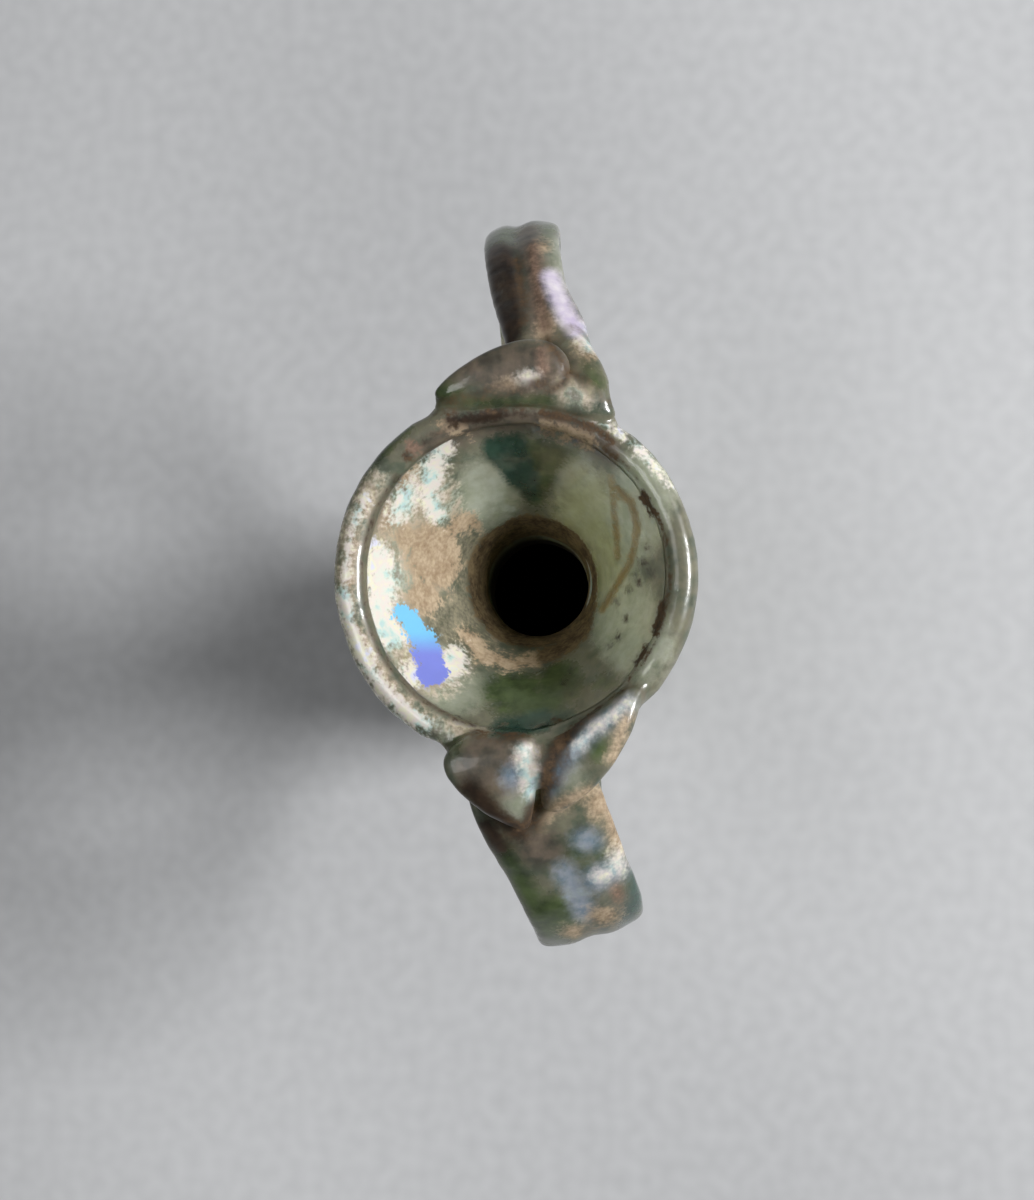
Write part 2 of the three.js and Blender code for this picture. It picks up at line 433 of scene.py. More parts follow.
@dataclass
class Handle:
    """A strap handle with the folds of glass that press it on the rim."""

    name: str
    part: Part
    height: float
    strap_path: Path
    strap_width: float
    strap_shares: tuple[float, ...]
    strap_thickness: float
    side: tuple[float, float, float]
    groove: float
    groove_place: float
    folds: dict[str, Band]
    strap_ends: float = 12.0
    strap_rings: int = 150
    strap_sides: int = 56
    drawn_lines: float = 0.07

    def strap(self) -> Band:
        """Draw the strap from under the rim outwards, round the bend and back to the shoulder."""
        return Band(
            path=tuple((x, y, self.height + z) for x, y, z in self.strap_path),
            widths=tuple(share * self.strap_width for share in self.strap_shares),
            thickness=self.strap_thickness,
            ends=self.strap_ends,
            side=self.side,
            groove=self.groove,
            groove_place=self.groove_place,
            drawn_lines=self.drawn_lines,
            rings=self.strap_rings,
            sides=self.strap_sides,
        )

    def build(self) -> bpy.types.Object:
        """Fuse the strap and its folds.

        Returns:
            One closed object.
        """
        made = self.strap().skin(self.part.value).to_object(self.name)
        for number, (fold_name, fold) in enumerate(self.folds.items(), start=1):
            lifted = tuple((x, y, self.height + z) for x, y, z in fold.path)
            shape = Band(lifted, fold.widths, fold.thickness)
            fuse(made, shape.skin(self.part.value + number).to_object(fold_name), "UNION")
        return made


def narrow_handle(height: float) -> Handle:
    """Size the narrow handle at +X: a two-ribbed strap, a fan on the rim, a tongue and a ridge."""
    fan = ring_path((21.4, 21.5, 21.7, 21.7, 21.5), (26, 12, -4, -18, -34), (-1.6, -0.9, -0.7, -0.8, -1))
    tongue = ((20.6, 9.4, -0.3), (22.4, 4.6, 0.3), (23.7, 0, 0.4), (24, -3.2, 0.4), (23, -6.6, 0.3))
    ridge = ((33, -3.4, -8.8), (28, -5.2, -5), (23.6, -7.4, -1.9), (18.6, -10.8, -0.2))
    return Handle(
        name="narrow_handle",
        part=Part.NARROW,
        height=height,
        strap_path=(
            (16.6, -5.4, -2.8),
            (26.8, -3.9, -4.4),
            (34.2, -1, -10),
            (41.2, 0.7, -16.6),
            (44.6, 1.3, -24),
            (40.8, 1.6, -32.4),
            (28, 1.4, -43),
            (17.2, 0.8, -50),
            (13.4, 0.3, -56),
        ),
        strap_width=9.2,
        strap_shares=(1.4, 1.1, 1, 1.02, 1, 0.96, 1, 1.3, 1.5),
        strap_thickness=3.6,
        side=(-0.12, 0.99, 0),
        groove=0.45,
        groove_place=0.16,
        folds={
            "narrow_fan": Band(fan, (3.2, 4.4, 4.8, 4.8, 4.2), 4.0),
            "narrow_tongue": Band(tongue, (3, 4.6, 6, 6.2, 5.4), 2.8),
            "narrow_ridge": Band(ridge, (3, 5.2, 6, 4.4), 3.2),
        },
    )


def broad_handle(height: float) -> Handle:
    """Size the broad handle at -X: a flat strap, a fan, a tongue turned back and a side lobe."""
    fan = ring_path((20.6, 21.6, 21.8, 21.2, 20), (157, 172, 190, 206, 222), (-1.4, -0.9, -0.9, -0.6, -0.5))
    tongue = ((-17.6, 3.4, -0.2), (-20.8, 2.4, 0.6), (-25, 0.7, -0.6), (-29, -1.2, -3))
    lobe = ((-12.6, -14.8, -0.3), (-18.4, -10.2, 0.3), (-22.6, -6.6, -0.6), (-27, -3.8, -2.8))
    return Handle(
        name="broad_handle",
        part=Part.BROAD,
        height=height,
        strap_path=(
            (-16.6, -0.2, -2.8),
            (-25.5, -2.2, -4.3),
            (-33, -4.9, -10.6),
            (-39.2, -6.9, -17),
            (-42, -7, -24),
            (-38.2, -4.8, -32.4),
            (-27, -1.2, -43),
            (-17.2, 0.2, -50),
            (-13.4, 0.3, -56),
        ),
        strap_width=14.6,
        strap_shares=(1.1, 1.05, 0.97, 0.95, 0.9, 0.86, 0.84, 0.95, 1.05),
        strap_thickness=3.4,
        side=(0.31, -0.95, 0),
        groove=0.25,
        groove_place=-0.1,
        folds={
            "broad_fan": Band(fan, (4, 5.6, 5.6, 5, 3), 4.0),
            "broad_tongue": Band(tongue, (12, 11.5, 7.6, 3), 2.8),
            "broad_lobe": Band(lobe, (3.4, 6, 6.2, 4), 3.2),
        },
    )


def fuse(base: bpy.types.Object, tool: bpy.types.Object, operation: str) -> None:
    """Join a closed object to another, or cut it away, and remove the tool.

    Args:
        base: Object that keeps the result.
        tool: Object that is joined or cut away.
        operation: UNION or DIFFERENCE.
    """
    joining = base.modifiers.new("joining", "BOOLEAN")
    joining.object = tool
    joining.operation = operation
    joining.solver = "MANIFOLD"
    drawn = base.evaluated_get(bpy.context.evaluated_depsgraph_get())
    before, tool_mesh = base.data, tool.data
    result = bpy.data.meshes.new_from_object(drawn)
    base.modifiers.clear()
    base.data = result
    bpy.data.objects.remove(tool)
    bpy.data.meshes.remove(before)
    bpy.data.meshes.remove(tool_mesh)


class FusedSkin:
    """The fused mesh as arrays, with the means to soften, roughen and mark it."""

    def __init__(self, flask: bpy.types.Object) -> None:
        """Read points, edges, corners and part numbers of a mesh object."""
        mesh = flask.data
        self.mesh = mesh
        self.points = self.read(mesh.vertices, "co", 3, np.float32).astype(float) / MM
        self.edges = self.read(mesh.edges, "vertices", 2, np.int32)
        self.corners = self.read(mesh.loops, "vertex_index", 1, np.int32)[:, 0]
        sizes = self.read(mesh.polygons, "loop_total", 1, np.int32)[:, 0]
        numbers = self.read(mesh.attributes[PART_ATTRIBUTE].data, "value", 1, np.int32)[:, 0]
        self.corner_parts = np.repeat(numbers, sizes)
        joined_vessel = np.maximum(self.corner_parts, Part.INSIDE.value)
        self.seam = self.seam_distance(self.meeting_points(joined_vessel))
        self.crease = self.seam_distance(self.meeting_points(self.corner_parts))

    @staticmethod
    def read(items: bpy.types.bpy_prop_collection, name: str, width: int, kind: type) -> Array:
        """Read one property of a mesh collection.

        Args:
            items: Collection of the mesh.
            name: Name of the property.
            width: Number of values in each item.
            kind: Type of the values.

        Returns:
            An array of items by values.
        """
        values = np.empty(len(items) * width, kind)
        items.foreach_get(name, values)
        return values.reshape(-1, width)

    def meeting_points(self, numbers: Array) -> Array:
        """Mark the points whose faces have different numbers.

        Args:
            numbers: Number of each corner's face.

        Returns:
            True for each point where two parts meet.
        """
        lowest = np.full(len(self.points), np.iinfo(np.int32).max)
        highest = np.full(len(self.points), -1)
        np.minimum.at(lowest, self.corners, numbers)
        np.maximum.at(highest, self.corners, numbers)
        return lowest != highest

    def seam_distance(self, seeds: Array, reach: float = 6.0, rounds: int = 24) -> Array:
        """Measure how far each point is from marked points, along the edges.

        Each round, a point takes the least of its own distance and its neighbours' distances plus
        the length of the edge between them.

        Args:
            seeds: True for the marked points.
            reach: Distance of points that no round reaches.
            rounds: Number of rounds.

        Returns:
            Distances in millimetres.
        """
        a, b = self.edges.T
        length = np.linalg.norm(self.points[a] - self.points[b], axis=1)
        away = np.where(seeds, 0.0, reach)
        for _ in range(rounds):
            np.minimum.at(away, a, away[b] + length)
            np.minimum.at(away, b, away[a] + length)
        return away

    def mean_of_neighbours(self, values: Array) -> Array:
        """Average the values of the points that share an edge with each point.

        Args:
            values: One row of values for each point.

        Returns:
            The averages, in the same shape.
        """
        a, b = self.edges.T
        total = np.zeros_like(values)
        np.add.at(total, a, values[b])
        np.add.at(total, b, values[a])
        counts = np.bincount(self.edges.ravel(), minlength=len(values))
        return total / counts.reshape((-1,) + (1,) * (values.ndim - 1))

    def soften(self, reach: float, rounds: int, kept: Array) -> None:
        """Let the glass flow together along its seams.

        Near a seam each point moves halfway to the mean of its neighbours, by a share that falls
        to nothing at the given reach and where the shape is kept.

        Args:
            reach: Distance from the seam, in millimetres.
            rounds: Number of passes.
            kept: How far each point stays as it is, from 0 to 1.
        """
        share = 0.5 * ((1.0 - smooth_step(0.0, reach, self.seam)) * (1.0 - kept))[:, None]
        for _ in range(rounds):
            self.points += share * (self.mean_of_neighbours(self.points) - self.points)

    def normals(self) -> Array:
        """Write the points to the mesh and read its point normals."""
        self.mesh.vertices.foreach_set("co", (self.points * MM).astype(np.float32).ravel())
        self.mesh.update()
        return self.read(self.mesh.vertex_normals, "vector", 3, np.float32).astype(float)

    def roughen(self, swell: float, length: float, seed: int) -> None:
        """Move each point along its normal by a smooth random height.

        Args:
            swell: Typical height in millimetres.
            length: Typical wavelength in millimetres.
            seed: Seed of the random waves.
        """
        still = smooth_step(0.0, 1.0, self.points[:, 2])
        self.points += self.normals() * (swell * still * waves(self.points, length, seed))[:, None]

    def share_of(self, low: int, high: int) -> Array:
        """Give the share of each point's corners whose part number lies from low up to high."""
        inside = ((self.corner_parts >= low) & (self.corner_parts < high)).astype(float)
        counts = np.bincount(self.corners, minlength=len(self.points))
        return np.bincount(self.corners, weights=inside, minlength=len(self.points)) / counts

    def store(self, name: str, values: Array) -> None:
        """Keep one value for each point as an attribute of the mesh."""
        kept = self.mesh.attributes.new(name, "FLOAT", "POINT")
        kept.data.foreach_set("value", values.astype(np.float32))


def linear(red: int, green: int, blue: int) -> tuple[float, float, float, float]:
    """Turn a display colour of 0 to 255 into the linear colour that shaders take."""
    shown = np.array([red, green, blue]) / 255.0
    plain = np.where(shown <= 0.04045, shown / 12.92, ((shown + 0.055) / 1.055) ** 2.4)
    return (*plain.tolist(), 1.0)


class Coat(Enum):
    """The weathering coats, named as the attributes that hold the distance in from their edges. Several
    also paint light: painted shade, painted highlights, a painted reflection and a painted glow.
    """

    CLEAR = "clear_glass"
    GLOW = "yellow_glow"
    OLIVE = "olive_stain"
    TEAL = "teal_depth"
    MOTTLE = "grey_mottle"
    TAUPE = "taupe_film"
    PALE = "pale_film"
    SKY = "sky_film"
    TAN = "tan_crust"
    RUST = "rust_crust"
    BROWN = "brown_film"
    AMBER = "amber_streak"
    LIP = "lip_crust"
    PEARL = "pearl_film"
    LILAC = "lilac_film"
    FLAKE = "blue_flake"
    DIRT = "crease_dirt"
    EARTH = "inner_earth"


@dataclass(frozen=True)
class CoatLook:
    """How a weathering coat looks: two tones, how it covers the glass, its edge and gloss."""

    coat: Coat
    low: tuple[int, int, int]
    high: tuple[int, int, int]
    cover: float
    roughness: float
    ragged: float = 1.6
    soft: float = 0.4
    gloss: float = 0.4
    pearly: float = 0.0
    fine: bool = False


BASE_FILM = CoatLook(Coat.CLEAR, (94, 97, 80), (142, 141, 123), 0.84, 0.32, gloss=0.25, pearly=0.4)
COAT_LOOKS = (
    CoatLook(Coat.CLEAR, (188, 194, 167), (226, 229, 210), 0.5, 0.14, soft=1.4, gloss=0.6),
    # Painted glow: light shining through the wall from behind, painted in as a bright yellow coat.
    CoatLook(Coat.GLOW, (198, 197, 148), (230, 228, 184), 0.6, 0.16, soft=1.6, gloss=0.6),
    # Olive stain, and painted shade: handle roots showing dark through the wall, the rim's outer edge, and
    # shaded pad, tongue and strap edges.
    CoatLook(Coat.OLIVE, (50, 64, 38), (94, 110, 70), 0.88, 0.12, soft=0.8, gloss=0.6),
    # Deep teal of thick glass, and painted shade where the handles' roots show dark through the wall.
    CoatLook(Coat.TEAL, (30, 57, 48), (58, 86, 75), 0.9, 0.1, ragged=1.0, soft=0.6, gloss=0.8),
    CoatLook(Coat.TAUPE, (76, 69, 60), (128, 117, 103), 0.92, 0.36, soft=0.8, gloss=0.3, pearly=0.3),
    # Pale film; at the lower right of the narrow pad also a painted highlight.
    CoatLook(
        Coat.PALE, (158, 148, 126), (222, 215, 198), 0.92, 0.34, ragged=2.6, soft=1.1, pearly=0.6, fine=True
    ),
    CoatLook(
        Coat.MOTTLE, (88, 89, 74), (160, 152, 129), 0.92, 0.5, ragged=2.6, soft=0.7, gloss=0.1, fine=True
    ),
    # Bluish grey film; on the broad strap and along the lobe's rolled edge also a painted bluish highlight.
    CoatLook(Coat.SKY, (122, 136, 153), (180, 192, 205), 0.85, 0.22, soft=0.8, gloss=0.6, pearly=0.4),
    CoatLook(
        Coat.TAN, (148, 124, 97), (196, 176, 149), 1.0, 0.7, ragged=2.6, soft=0.5, gloss=0.0, fine=True
    ),
    CoatLook(Coat.RUST, (104, 80, 66), (154, 128, 109), 1.0, 0.7, gloss=0.0, fine=True),
    # Brown film and pits, and painted shade under the broad tongue, along the narrow pad's edge, in the
    # rim's groove and on the narrow strap's left rib.
    CoatLook(Coat.BROWN, (25, 18, 14), (70, 54, 40), 0.96, 0.34, soft=0.6, gloss=0.3),
    CoatLook(Coat.AMBER, (134, 108, 58), (174, 146, 90), 0.8, 0.3, ragged=0.5, soft=0.35),
    CoatLook(Coat.LIP, (56, 42, 24), (128, 110, 80), 1.0, 0.7, ragged=2.0, gloss=0.1, fine=True),
    # White pearly film; on the rim's crest and right edge, the narrow pad, the broad strap and the lobe
    # also a painted highlight.
    CoatLook(Coat.PEARL, (226, 231, 225), (255, 255, 252), 0.95, 0.2, ragged=2.4, soft=0.6, pearly=0.9),
    # Painted highlight: a bright lilac sheen of reflected light.
    CoatLook(Coat.LILAC, (214, 200, 230), (255, 247, 255), 1.0, 0.18, ragged=0.9, gloss=0.7),
    # A weathering flake whose blue to violet colour is a painted reflection of the light, toned along its
    # length.
    CoatLook(Coat.FLAKE, (126, 204, 250), (132, 142, 232), 1.0, 0.3, ragged=1.7, soft=0.18),
    # Dark dirt in creases and seams, and painted shade in the same creases and under the broad tongue's
    # tip.
    CoatLook(Coat.DIRT, (42, 31, 20), (98, 76, 52), 1.0, 0.75, ragged=1.1, soft=0.3, gloss=0.0, fine=True),
    # Near black inside, darker the deeper it lies below the darkening level.
    CoatLook(Coat.EARTH, (10, 8, 5), (52, 38, 21), 1.0, 0.85, ragged=0.8, soft=1.2, gloss=0.0, fine=True),
)


@dataclass(frozen=True)
class Spot:
    """An oval patch of a coat, placed in plan."""

    coat: Coat
    parts: tuple[Part, ...]
    centre: tuple[float, float]
    half: tuple[float, float]
    turn: float = 0.0

    def depth(self, plan: Array) -> Array:
        """Measure how far points lie in from the patch's edge.

        The oval's own measure, 0 at its centre and 1 at its edge, is taken from 1 and scaled by
        its smaller half size.

        Args:
            plan: Points as (x, y).

        Returns:
            Distances in millimetres, positive inside.
        """
        turn = np.radians(self.turn)
        rotate = np.array([[np.cos(turn), -np.sin(turn)], [np.sin(turn), np.cos(turn)]])
        away = (plan - self.centre) @ rotate / self.half
        return (1.0 - np.linalg.norm(away, axis=1)) * min(self.half)


@dataclass(frozen=True)
class Streak:
    """A run of a coat along a line of plan points."""

    coat: Coat
    parts: tuple[Part, ...]
    path: Path
    half_width: float

    def depth(self, plan: Array) -> Array:
        """Measure how far points lie in from the streak's edge.

        It is the half width less the distance to the nearest of the line's straight pieces.

        Args:
            plan: Points as (x, y).

        Returns:
            Distances in millimetres, positive inside.
        """
        nearest = np.full(len(plan), np.inf)
        for start, end in zip(np.array(self.path[:-1]), np.array(self.path[1:])):
            run = end - start
            share = np.clip((plan - start) @ run / (run @ run), 0.0, 1.0)
            nearest = np.minimum(nearest, np.linalg.norm(plan - start - share[:, None] * run, axis=1))
        return self.half_width - nearest


def arc(radius: float, first: float, last: float, steps: int = 24) -> Path:
    """Lay plan points along a circle about the axis, from one angle in degrees to another."""
    angle = np.radians(np.linspace(first, last, steps))
    return tuple(zip((radius * np.cos(angle)).tolist(), (radius * np.sin(angle)).tolist()))


NARROW_CREASE = ((27.7, -3.6), (25.7, -5.0), (24.3, -5.8), (23.1, -6.4), (21.8, -5.9), (20.9, -4.3))
BROAD_CREASE = ((-15.8, -8.1), (-17.8, -6.5), (-19.9, -5.1), (-22.5, -4.1), (-25.5, -3.0), (-28.5, -1.6))
TONGUE_UNDERSIDE = ((-22.5, 4.6), (-25.6, 3.0), (-28.9, -0.6), (-29.2, -2.0))
PAD_EDGE = arc(18.9, 27.0, -36.0)
CRISP_CREASES = (NARROW_CREASE, BROAD_CREASE, TONGUE_UNDERSIDE, PAD_EDGE)

FUNNEL = (Part.INSIDE, Part.RIM)
INSIDE = (Part.INSIDE,)
RIM = (Part.RIM, Part.OUTSIDE)
NARROW = (Part.NARROW,)
BROAD = (Part.BROAD,)

FUNNEL_PATCHES = (
    Spot(Coat.CLEAR, INSIDE, (10.4, 4.4), (3.6, 3.2), -20.0),
    Spot(Coat.CLEAR, INSIDE, (11.6, -6.2), (2.6, 2.2)),
    Spot(Coat.CLEAR, FUNNEL, (-5.0, -12.4), (7.0, 4.2), 30.0),
    Spot(Coat.CLEAR, FUNNEL, (7.0, -13.2), (7.4, 4.2), -30.0),
    Spot(Coat.CLEAR, INSIDE, (-13.4, 8.0), (2.4, 3.4)),
    # Painted glow on the funnel's right wall, where light shines through the glass.
    Spot(Coat.GLOW, INSIDE, (7.8, -7.0), (4.6, 3.4), -40.0),
    Spot(Coat.GLOW, INSIDE, (3.0, -9.4), (5.0, 2.4), 10.0),
    # The dark V at the top of the funnel is painted shade: the narrow handle's root in shadow, seen through
    # the wall, laid as teal and olive.
    Spot(Coat.TEAL, INSIDE, (15.4, 1.5), (2.6, 2.7)),
    Spot(Coat.TEAL, INSIDE, (13.6, 0.5), (2.4, 2.1)),
    Spot(Coat.TEAL, INSIDE, (12.0, -0.7), (1.8, 1.4)),
    # Olive painted shade where the narrow handle's root shows dark through the funnel wall.
    Spot(Coat.OLIVE, INSIDE, (15.0, -2.9), (2.6, 3.8), 10.0),
    Spot(Coat.OLIVE, INSIDE, (13.2, -2.0), (2.4, 2.4)),
    Spot(Coat.OLIVE, INSIDE, (15.4, -5.0), (1.5, 2.4)),
    Spot(Coat.OLIVE, INSIDE, (11.3, -1.3), (1.8, 1.3)),
    # Olive painted shade where the broad handle's root shows dark through the funnel wall.
    Spot(Coat.OLIVE, INSIDE, (-13.0, 0.8), (2.0, 3.8)),
    Spot(Coat.OLIVE, INSIDE, (-12.2, -4.6), (2.6, 2.8)),
    Spot(Coat.OLIVE, INSIDE, (-14.6, -1.4), (1.8, 4.6)),
    Spot(Coat.OLIVE, INSIDE, (-12.1, -10.2), (0.9, 1.4)),
    # Teal at the bottom of the funnel is painted shade where the broad handle's root shows through the
    # wall.
    Streak(Coat.TEAL, FUNNEL + BROAD, ((-17.7, 1.6), (-17.3, -0.4), (-16.6, -3.2)), 1.3),
    Streak(Coat.TEAL, FUNNEL, ((-16.6, -3.3), (-15.9, -6.2)), 0.5),
    Spot(Coat.MOTTLE, INSIDE, (3.1, 7.7), (4.4, 2.1)),
    Spot(Coat.MOTTLE, INSIDE, (-4.4, 8.9), (3.6, 3.2)),
    Spot(Coat.MOTTLE, INSIDE, (-7.6, 5.8), (2.2, 2.4)),
    Streak(Coat.PALE, INSIDE, arc(14.6, 47.0, 138.0), 3.2),
    Streak(Coat.PALE, INSIDE, arc(11.0, 64.0, 118.0), 1.6),
    Spot(Coat.PEARL, INSIDE, (9.2, 13.4), (2.8, 1.0), -35.0),
    Streak(Coat.PEARL, INSIDE, ((15.5, 8.4), (12.8, 9.9), (10.0, 10.8), (7.9, 10.3)), 1.0),
    Streak(Coat.PEARL, INSIDE, ((2.8, 16.4), (-1.3, 16.2), (-4.8, 16.0), (-6.6, 14.6)), 1.5),
    Spot(Coat.PEARL, INSIDE, (-11.2, 12.4), (1.8, 1.2)),
    Spot(Coat.PEARL, INSIDE, (-10.0, 8.2), (2.2, 1.5)),
    Spot(Coat.TAN, INSIDE, (3.0, 11.0), (4.2, 2.7)),
    Streak(Coat.TAN, INSIDE, ((5.6, 9.6), (7.2, 8.0), (7.5, 6.4)), 0.9),
    Spot(Coat.TAN, INSIDE, (-1.8, 12.0), (2.4, 1.7)),
    Spot(Coat.TAN, INSIDE, (11.4, 12.8), (2.0, 1.1), -40.0),
    Spot(Coat.TAN, INSIDE, (7.2, 14.9), (2.2, 1.1), -20.0),
    Spot(Coat.TAN, INSIDE, (5.0, 13.6), (1.6, 1.2)),
    Streak(Coat.TAN, INSIDE, ((-6.2, 7.2), (-9.0, 5.0), (-9.8, 1.4), (-9.0, -1.8)), 0.9),
    Streak(Coat.LIP, INSIDE, ((-8.7, -2.4), (-7.4, -5.0), (-5.4, -6.8), (-3.0, -7.2)), 1.2),
    # The blue flake on the funnel's left wall: a flake of weathering carrying a painted reflection of the
    # light.
    Streak(Coat.FLAKE, INSIDE, ((-3.8, 13.9), (-5.6, 12.7), (-7.0, 11.4)), 1.05),
    Streak(Coat.FLAKE, INSIDE, ((-7.0, 11.5), (-8.8, 11.1), (-11.2, 10.1)), 1.4),
    Streak(Coat.AMBER, INSIDE, ((11.6, -11.0), (8.4, -11.1), (5.4, -11.3), (2.8, -11.3)), 0.4),
    Streak(
        Coat.AMBER,
        INSIDE,
        ((10.5, -11.6), (8.7, -13.3), (6.2, -14.0), (4.0, -13.6), (1.8, -12.8))
        + ((-1.0, -10.8), (-3.3, -9.2)),
        0.5,
    ),
    Streak(Coat.BROWN, FUNNEL, ((17.9, 7.2), (18.2, 4.4), (18.6, 1.5)), 0.7),
    Streak(Coat.TAUPE, FUNNEL, arc(18.0, 34.0, -38.0), 1.2),
    Streak(Coat.TAN, FUNNEL, ((17.4, 8.6), (17.3, 6.0)), 0.7),
    Streak(Coat.TAN, FUNNEL, ((17.2, -3.6), (16.6, -6.5), (15.6, -9.0)), 0.8),
    # Painted shade in a thin line under the narrow pad's edge.
    Streak(Coat.BROWN, FUNNEL, arc(18.7, 34.0, -36.0), 0.1),
    # Dirt in the crease inside the rim's right side, darkened also as painted shade.
    Streak(Coat.DIRT, FUNNEL, ((18.6, -3.4), (17.9, -6.8), (16.7, -9.8), (15.2, -11.4)), 0.4),
    Streak(Coat.DIRT, FUNNEL, arc(17.9, -36.0, -132.0), 0.15),
    Streak(Coat.DIRT, FUNNEL, arc(17.5, -58.0, -66.0), 0.5),
    Streak(Coat.DIRT, FUNNEL, arc(17.4, -101.0, -112.0), 0.6),
    Streak(Coat.DIRT, FUNNEL, arc(17.2, -118.0, -126.0), 0.5),
    Spot(Coat.RUST, RIM, (14.9, 11.6), (0.9, 0.9)),
    Spot(Coat.DIRT, FUNNEL, (13.9, 12.3), (0.6, 0.7)),
    Streak(Coat.PALE, RIM, arc(19.4, 56.0, 168.0), 1.4),
    # Painted shade along the outer edge of the rim's left side.
    Streak(Coat.OLIVE, RIM, arc(21.2, 36.0, 172.0), 0.6),
    Streak(Coat.TAN, RIM, arc(19.2, 62.0, 150.0), 0.7),
    # Pearl film on the crest of the rim's left side, partly a painted highlight on the lit crest.
    Streak(Coat.PEARL, RIM, arc(19.8, 96.0, 150.0), 0.9),
    Streak(Coat.PEARL, RIM, arc(19.4, 62.0, 90.0), 0.5),
    # Painted shade in the groove inside the rim's left bead, partly dirt.
    Streak(Coat.BROWN, FUNNEL, arc(17.75, 50.0, 165.0), 0.12),
    # Painted highlight along the outer edge of the rim's right side.
    Streak(Coat.PEARL, RIM, arc(20.4, -28.0, -60.0), 0.35),
)
PIT_PLACES = (
    (-1.3, -12.9, 0.45),
    (-4.7, -12.6, 0.4),
    (-2.5, -11.0, 0.35),
    (-6.8, -11.4, 0.5),
    (1.8, -14.6, 0.5),
    (-0.4, -14.0, 0.3),
    (0.6, -15.4, 0.5),
    (-7.8, -10.6, 0.35),
    (3.6, -15.0, 0.4),
)
NARROW_PATCHES = (
    Spot(Coat.TAUPE, NARROW, (23.6, -0.5), (3.2, 7.5)),
    Spot(Coat.OLIVE, NARROW, (43.6, 1.4), (3.2, 5.0), 12.0),
    Streak(Coat.CLEAR, NARROW, ((41.5, -3.9), (36.0, -5.4)), 0.9),
    # Painted shade on the narrow strap's left rib, which faces away from the light.
    Streak(Coat.BROWN, NARROW, ((40.0, 3.2), (38.5, 2.9), (34.7, 2.0), (31.5, 1.3), (28.8, 1.2)), 2.2),
    Streak(Coat.TAUPE, NARROW, ((43.6, 0.0), (37.7, -1.1), (32.7, -2.1), (29.4, -3.0)), 1.6),
    Streak(Coat.RUST, NARROW, ((41.0, -0.9), (37.4, -1.5), (32.7, -2.5), (29.4, -3.4)), 0.7),
    # Dark line in the groove between the narrow strap's ribs: painted shade, partly dirt.
    Streak(Coat.DIRT, NARROW, ((39.4, 0.8), (35.6, 0.2), (32.3, -0.6), (30.2, -0.8)), 0.45),
    Spot(Coat.TAN, NARROW, (41.0, -2.2), (0.8, 0.8)),
    Spot(Coat.TAN, NARROW, (29.1, -3.4), (1.8, 1.1)),
    Streak(Coat.TAN, NARROW, ((27.0, -7.6), (25.4, -8.8)), 0.8),
    # Painted lilac highlight along the narrow strap.
    Streak(Coat.LILAC, NARROW, ((36.4, -3.5), (33.8, -4.5), (30.9, -5.8), (28.9, -7.0)), 1.1),
    # Painted white highlight below the lilac one.
    Streak(Coat.PEARL, NARROW, ((29.0, -7.1), (27.6, -8.0), (26.6, -8.8)), 0.7),
    Streak(Coat.RUST, NARROW, ((25.6, -3.4), (23.3, -3.7)), 0.6),
    # Painted highlight from the gloss in the middle of the narrow pad.
    Spot(Coat.PEARL, NARROW, (22.3, -2.0), (0.7, 0.9)),
    Spot(Coat.TAN, NARROW, (21.8, -0.4), (0.4, 1.2)),
    # Painted shade in olive along the narrow pad's lower edge, where the pad overhangs the rim.
    Spot(Coat.OLIVE, NARROW, (20.9, 7.4), (1.4, 2.6)),
    Streak(Coat.OLIVE, NARROW, ((20.1, 5.4), (19.9, 2.1), (20.0, -0.8), (20.1, -4.1)), 0.9),
    # Painted white highlight at the lower right of the narrow pad.
    Streak(Coat.PALE, NARROW, ((21.2, -5.8), (20.5, -7.4), (20.1, -8.6)), 0.9),
    Streak(Coat.TEAL, NARROW, ((19.6, -8.6), (19.2, -10.8)), 0.7),
    Streak(Coat.OLIVE, NARROW, ((23.9, -8.4), (21.8, -9.8)), 0.7),
    Streak(Coat.DIRT, NARROW, NARROW_CREASE, 0.5),
)
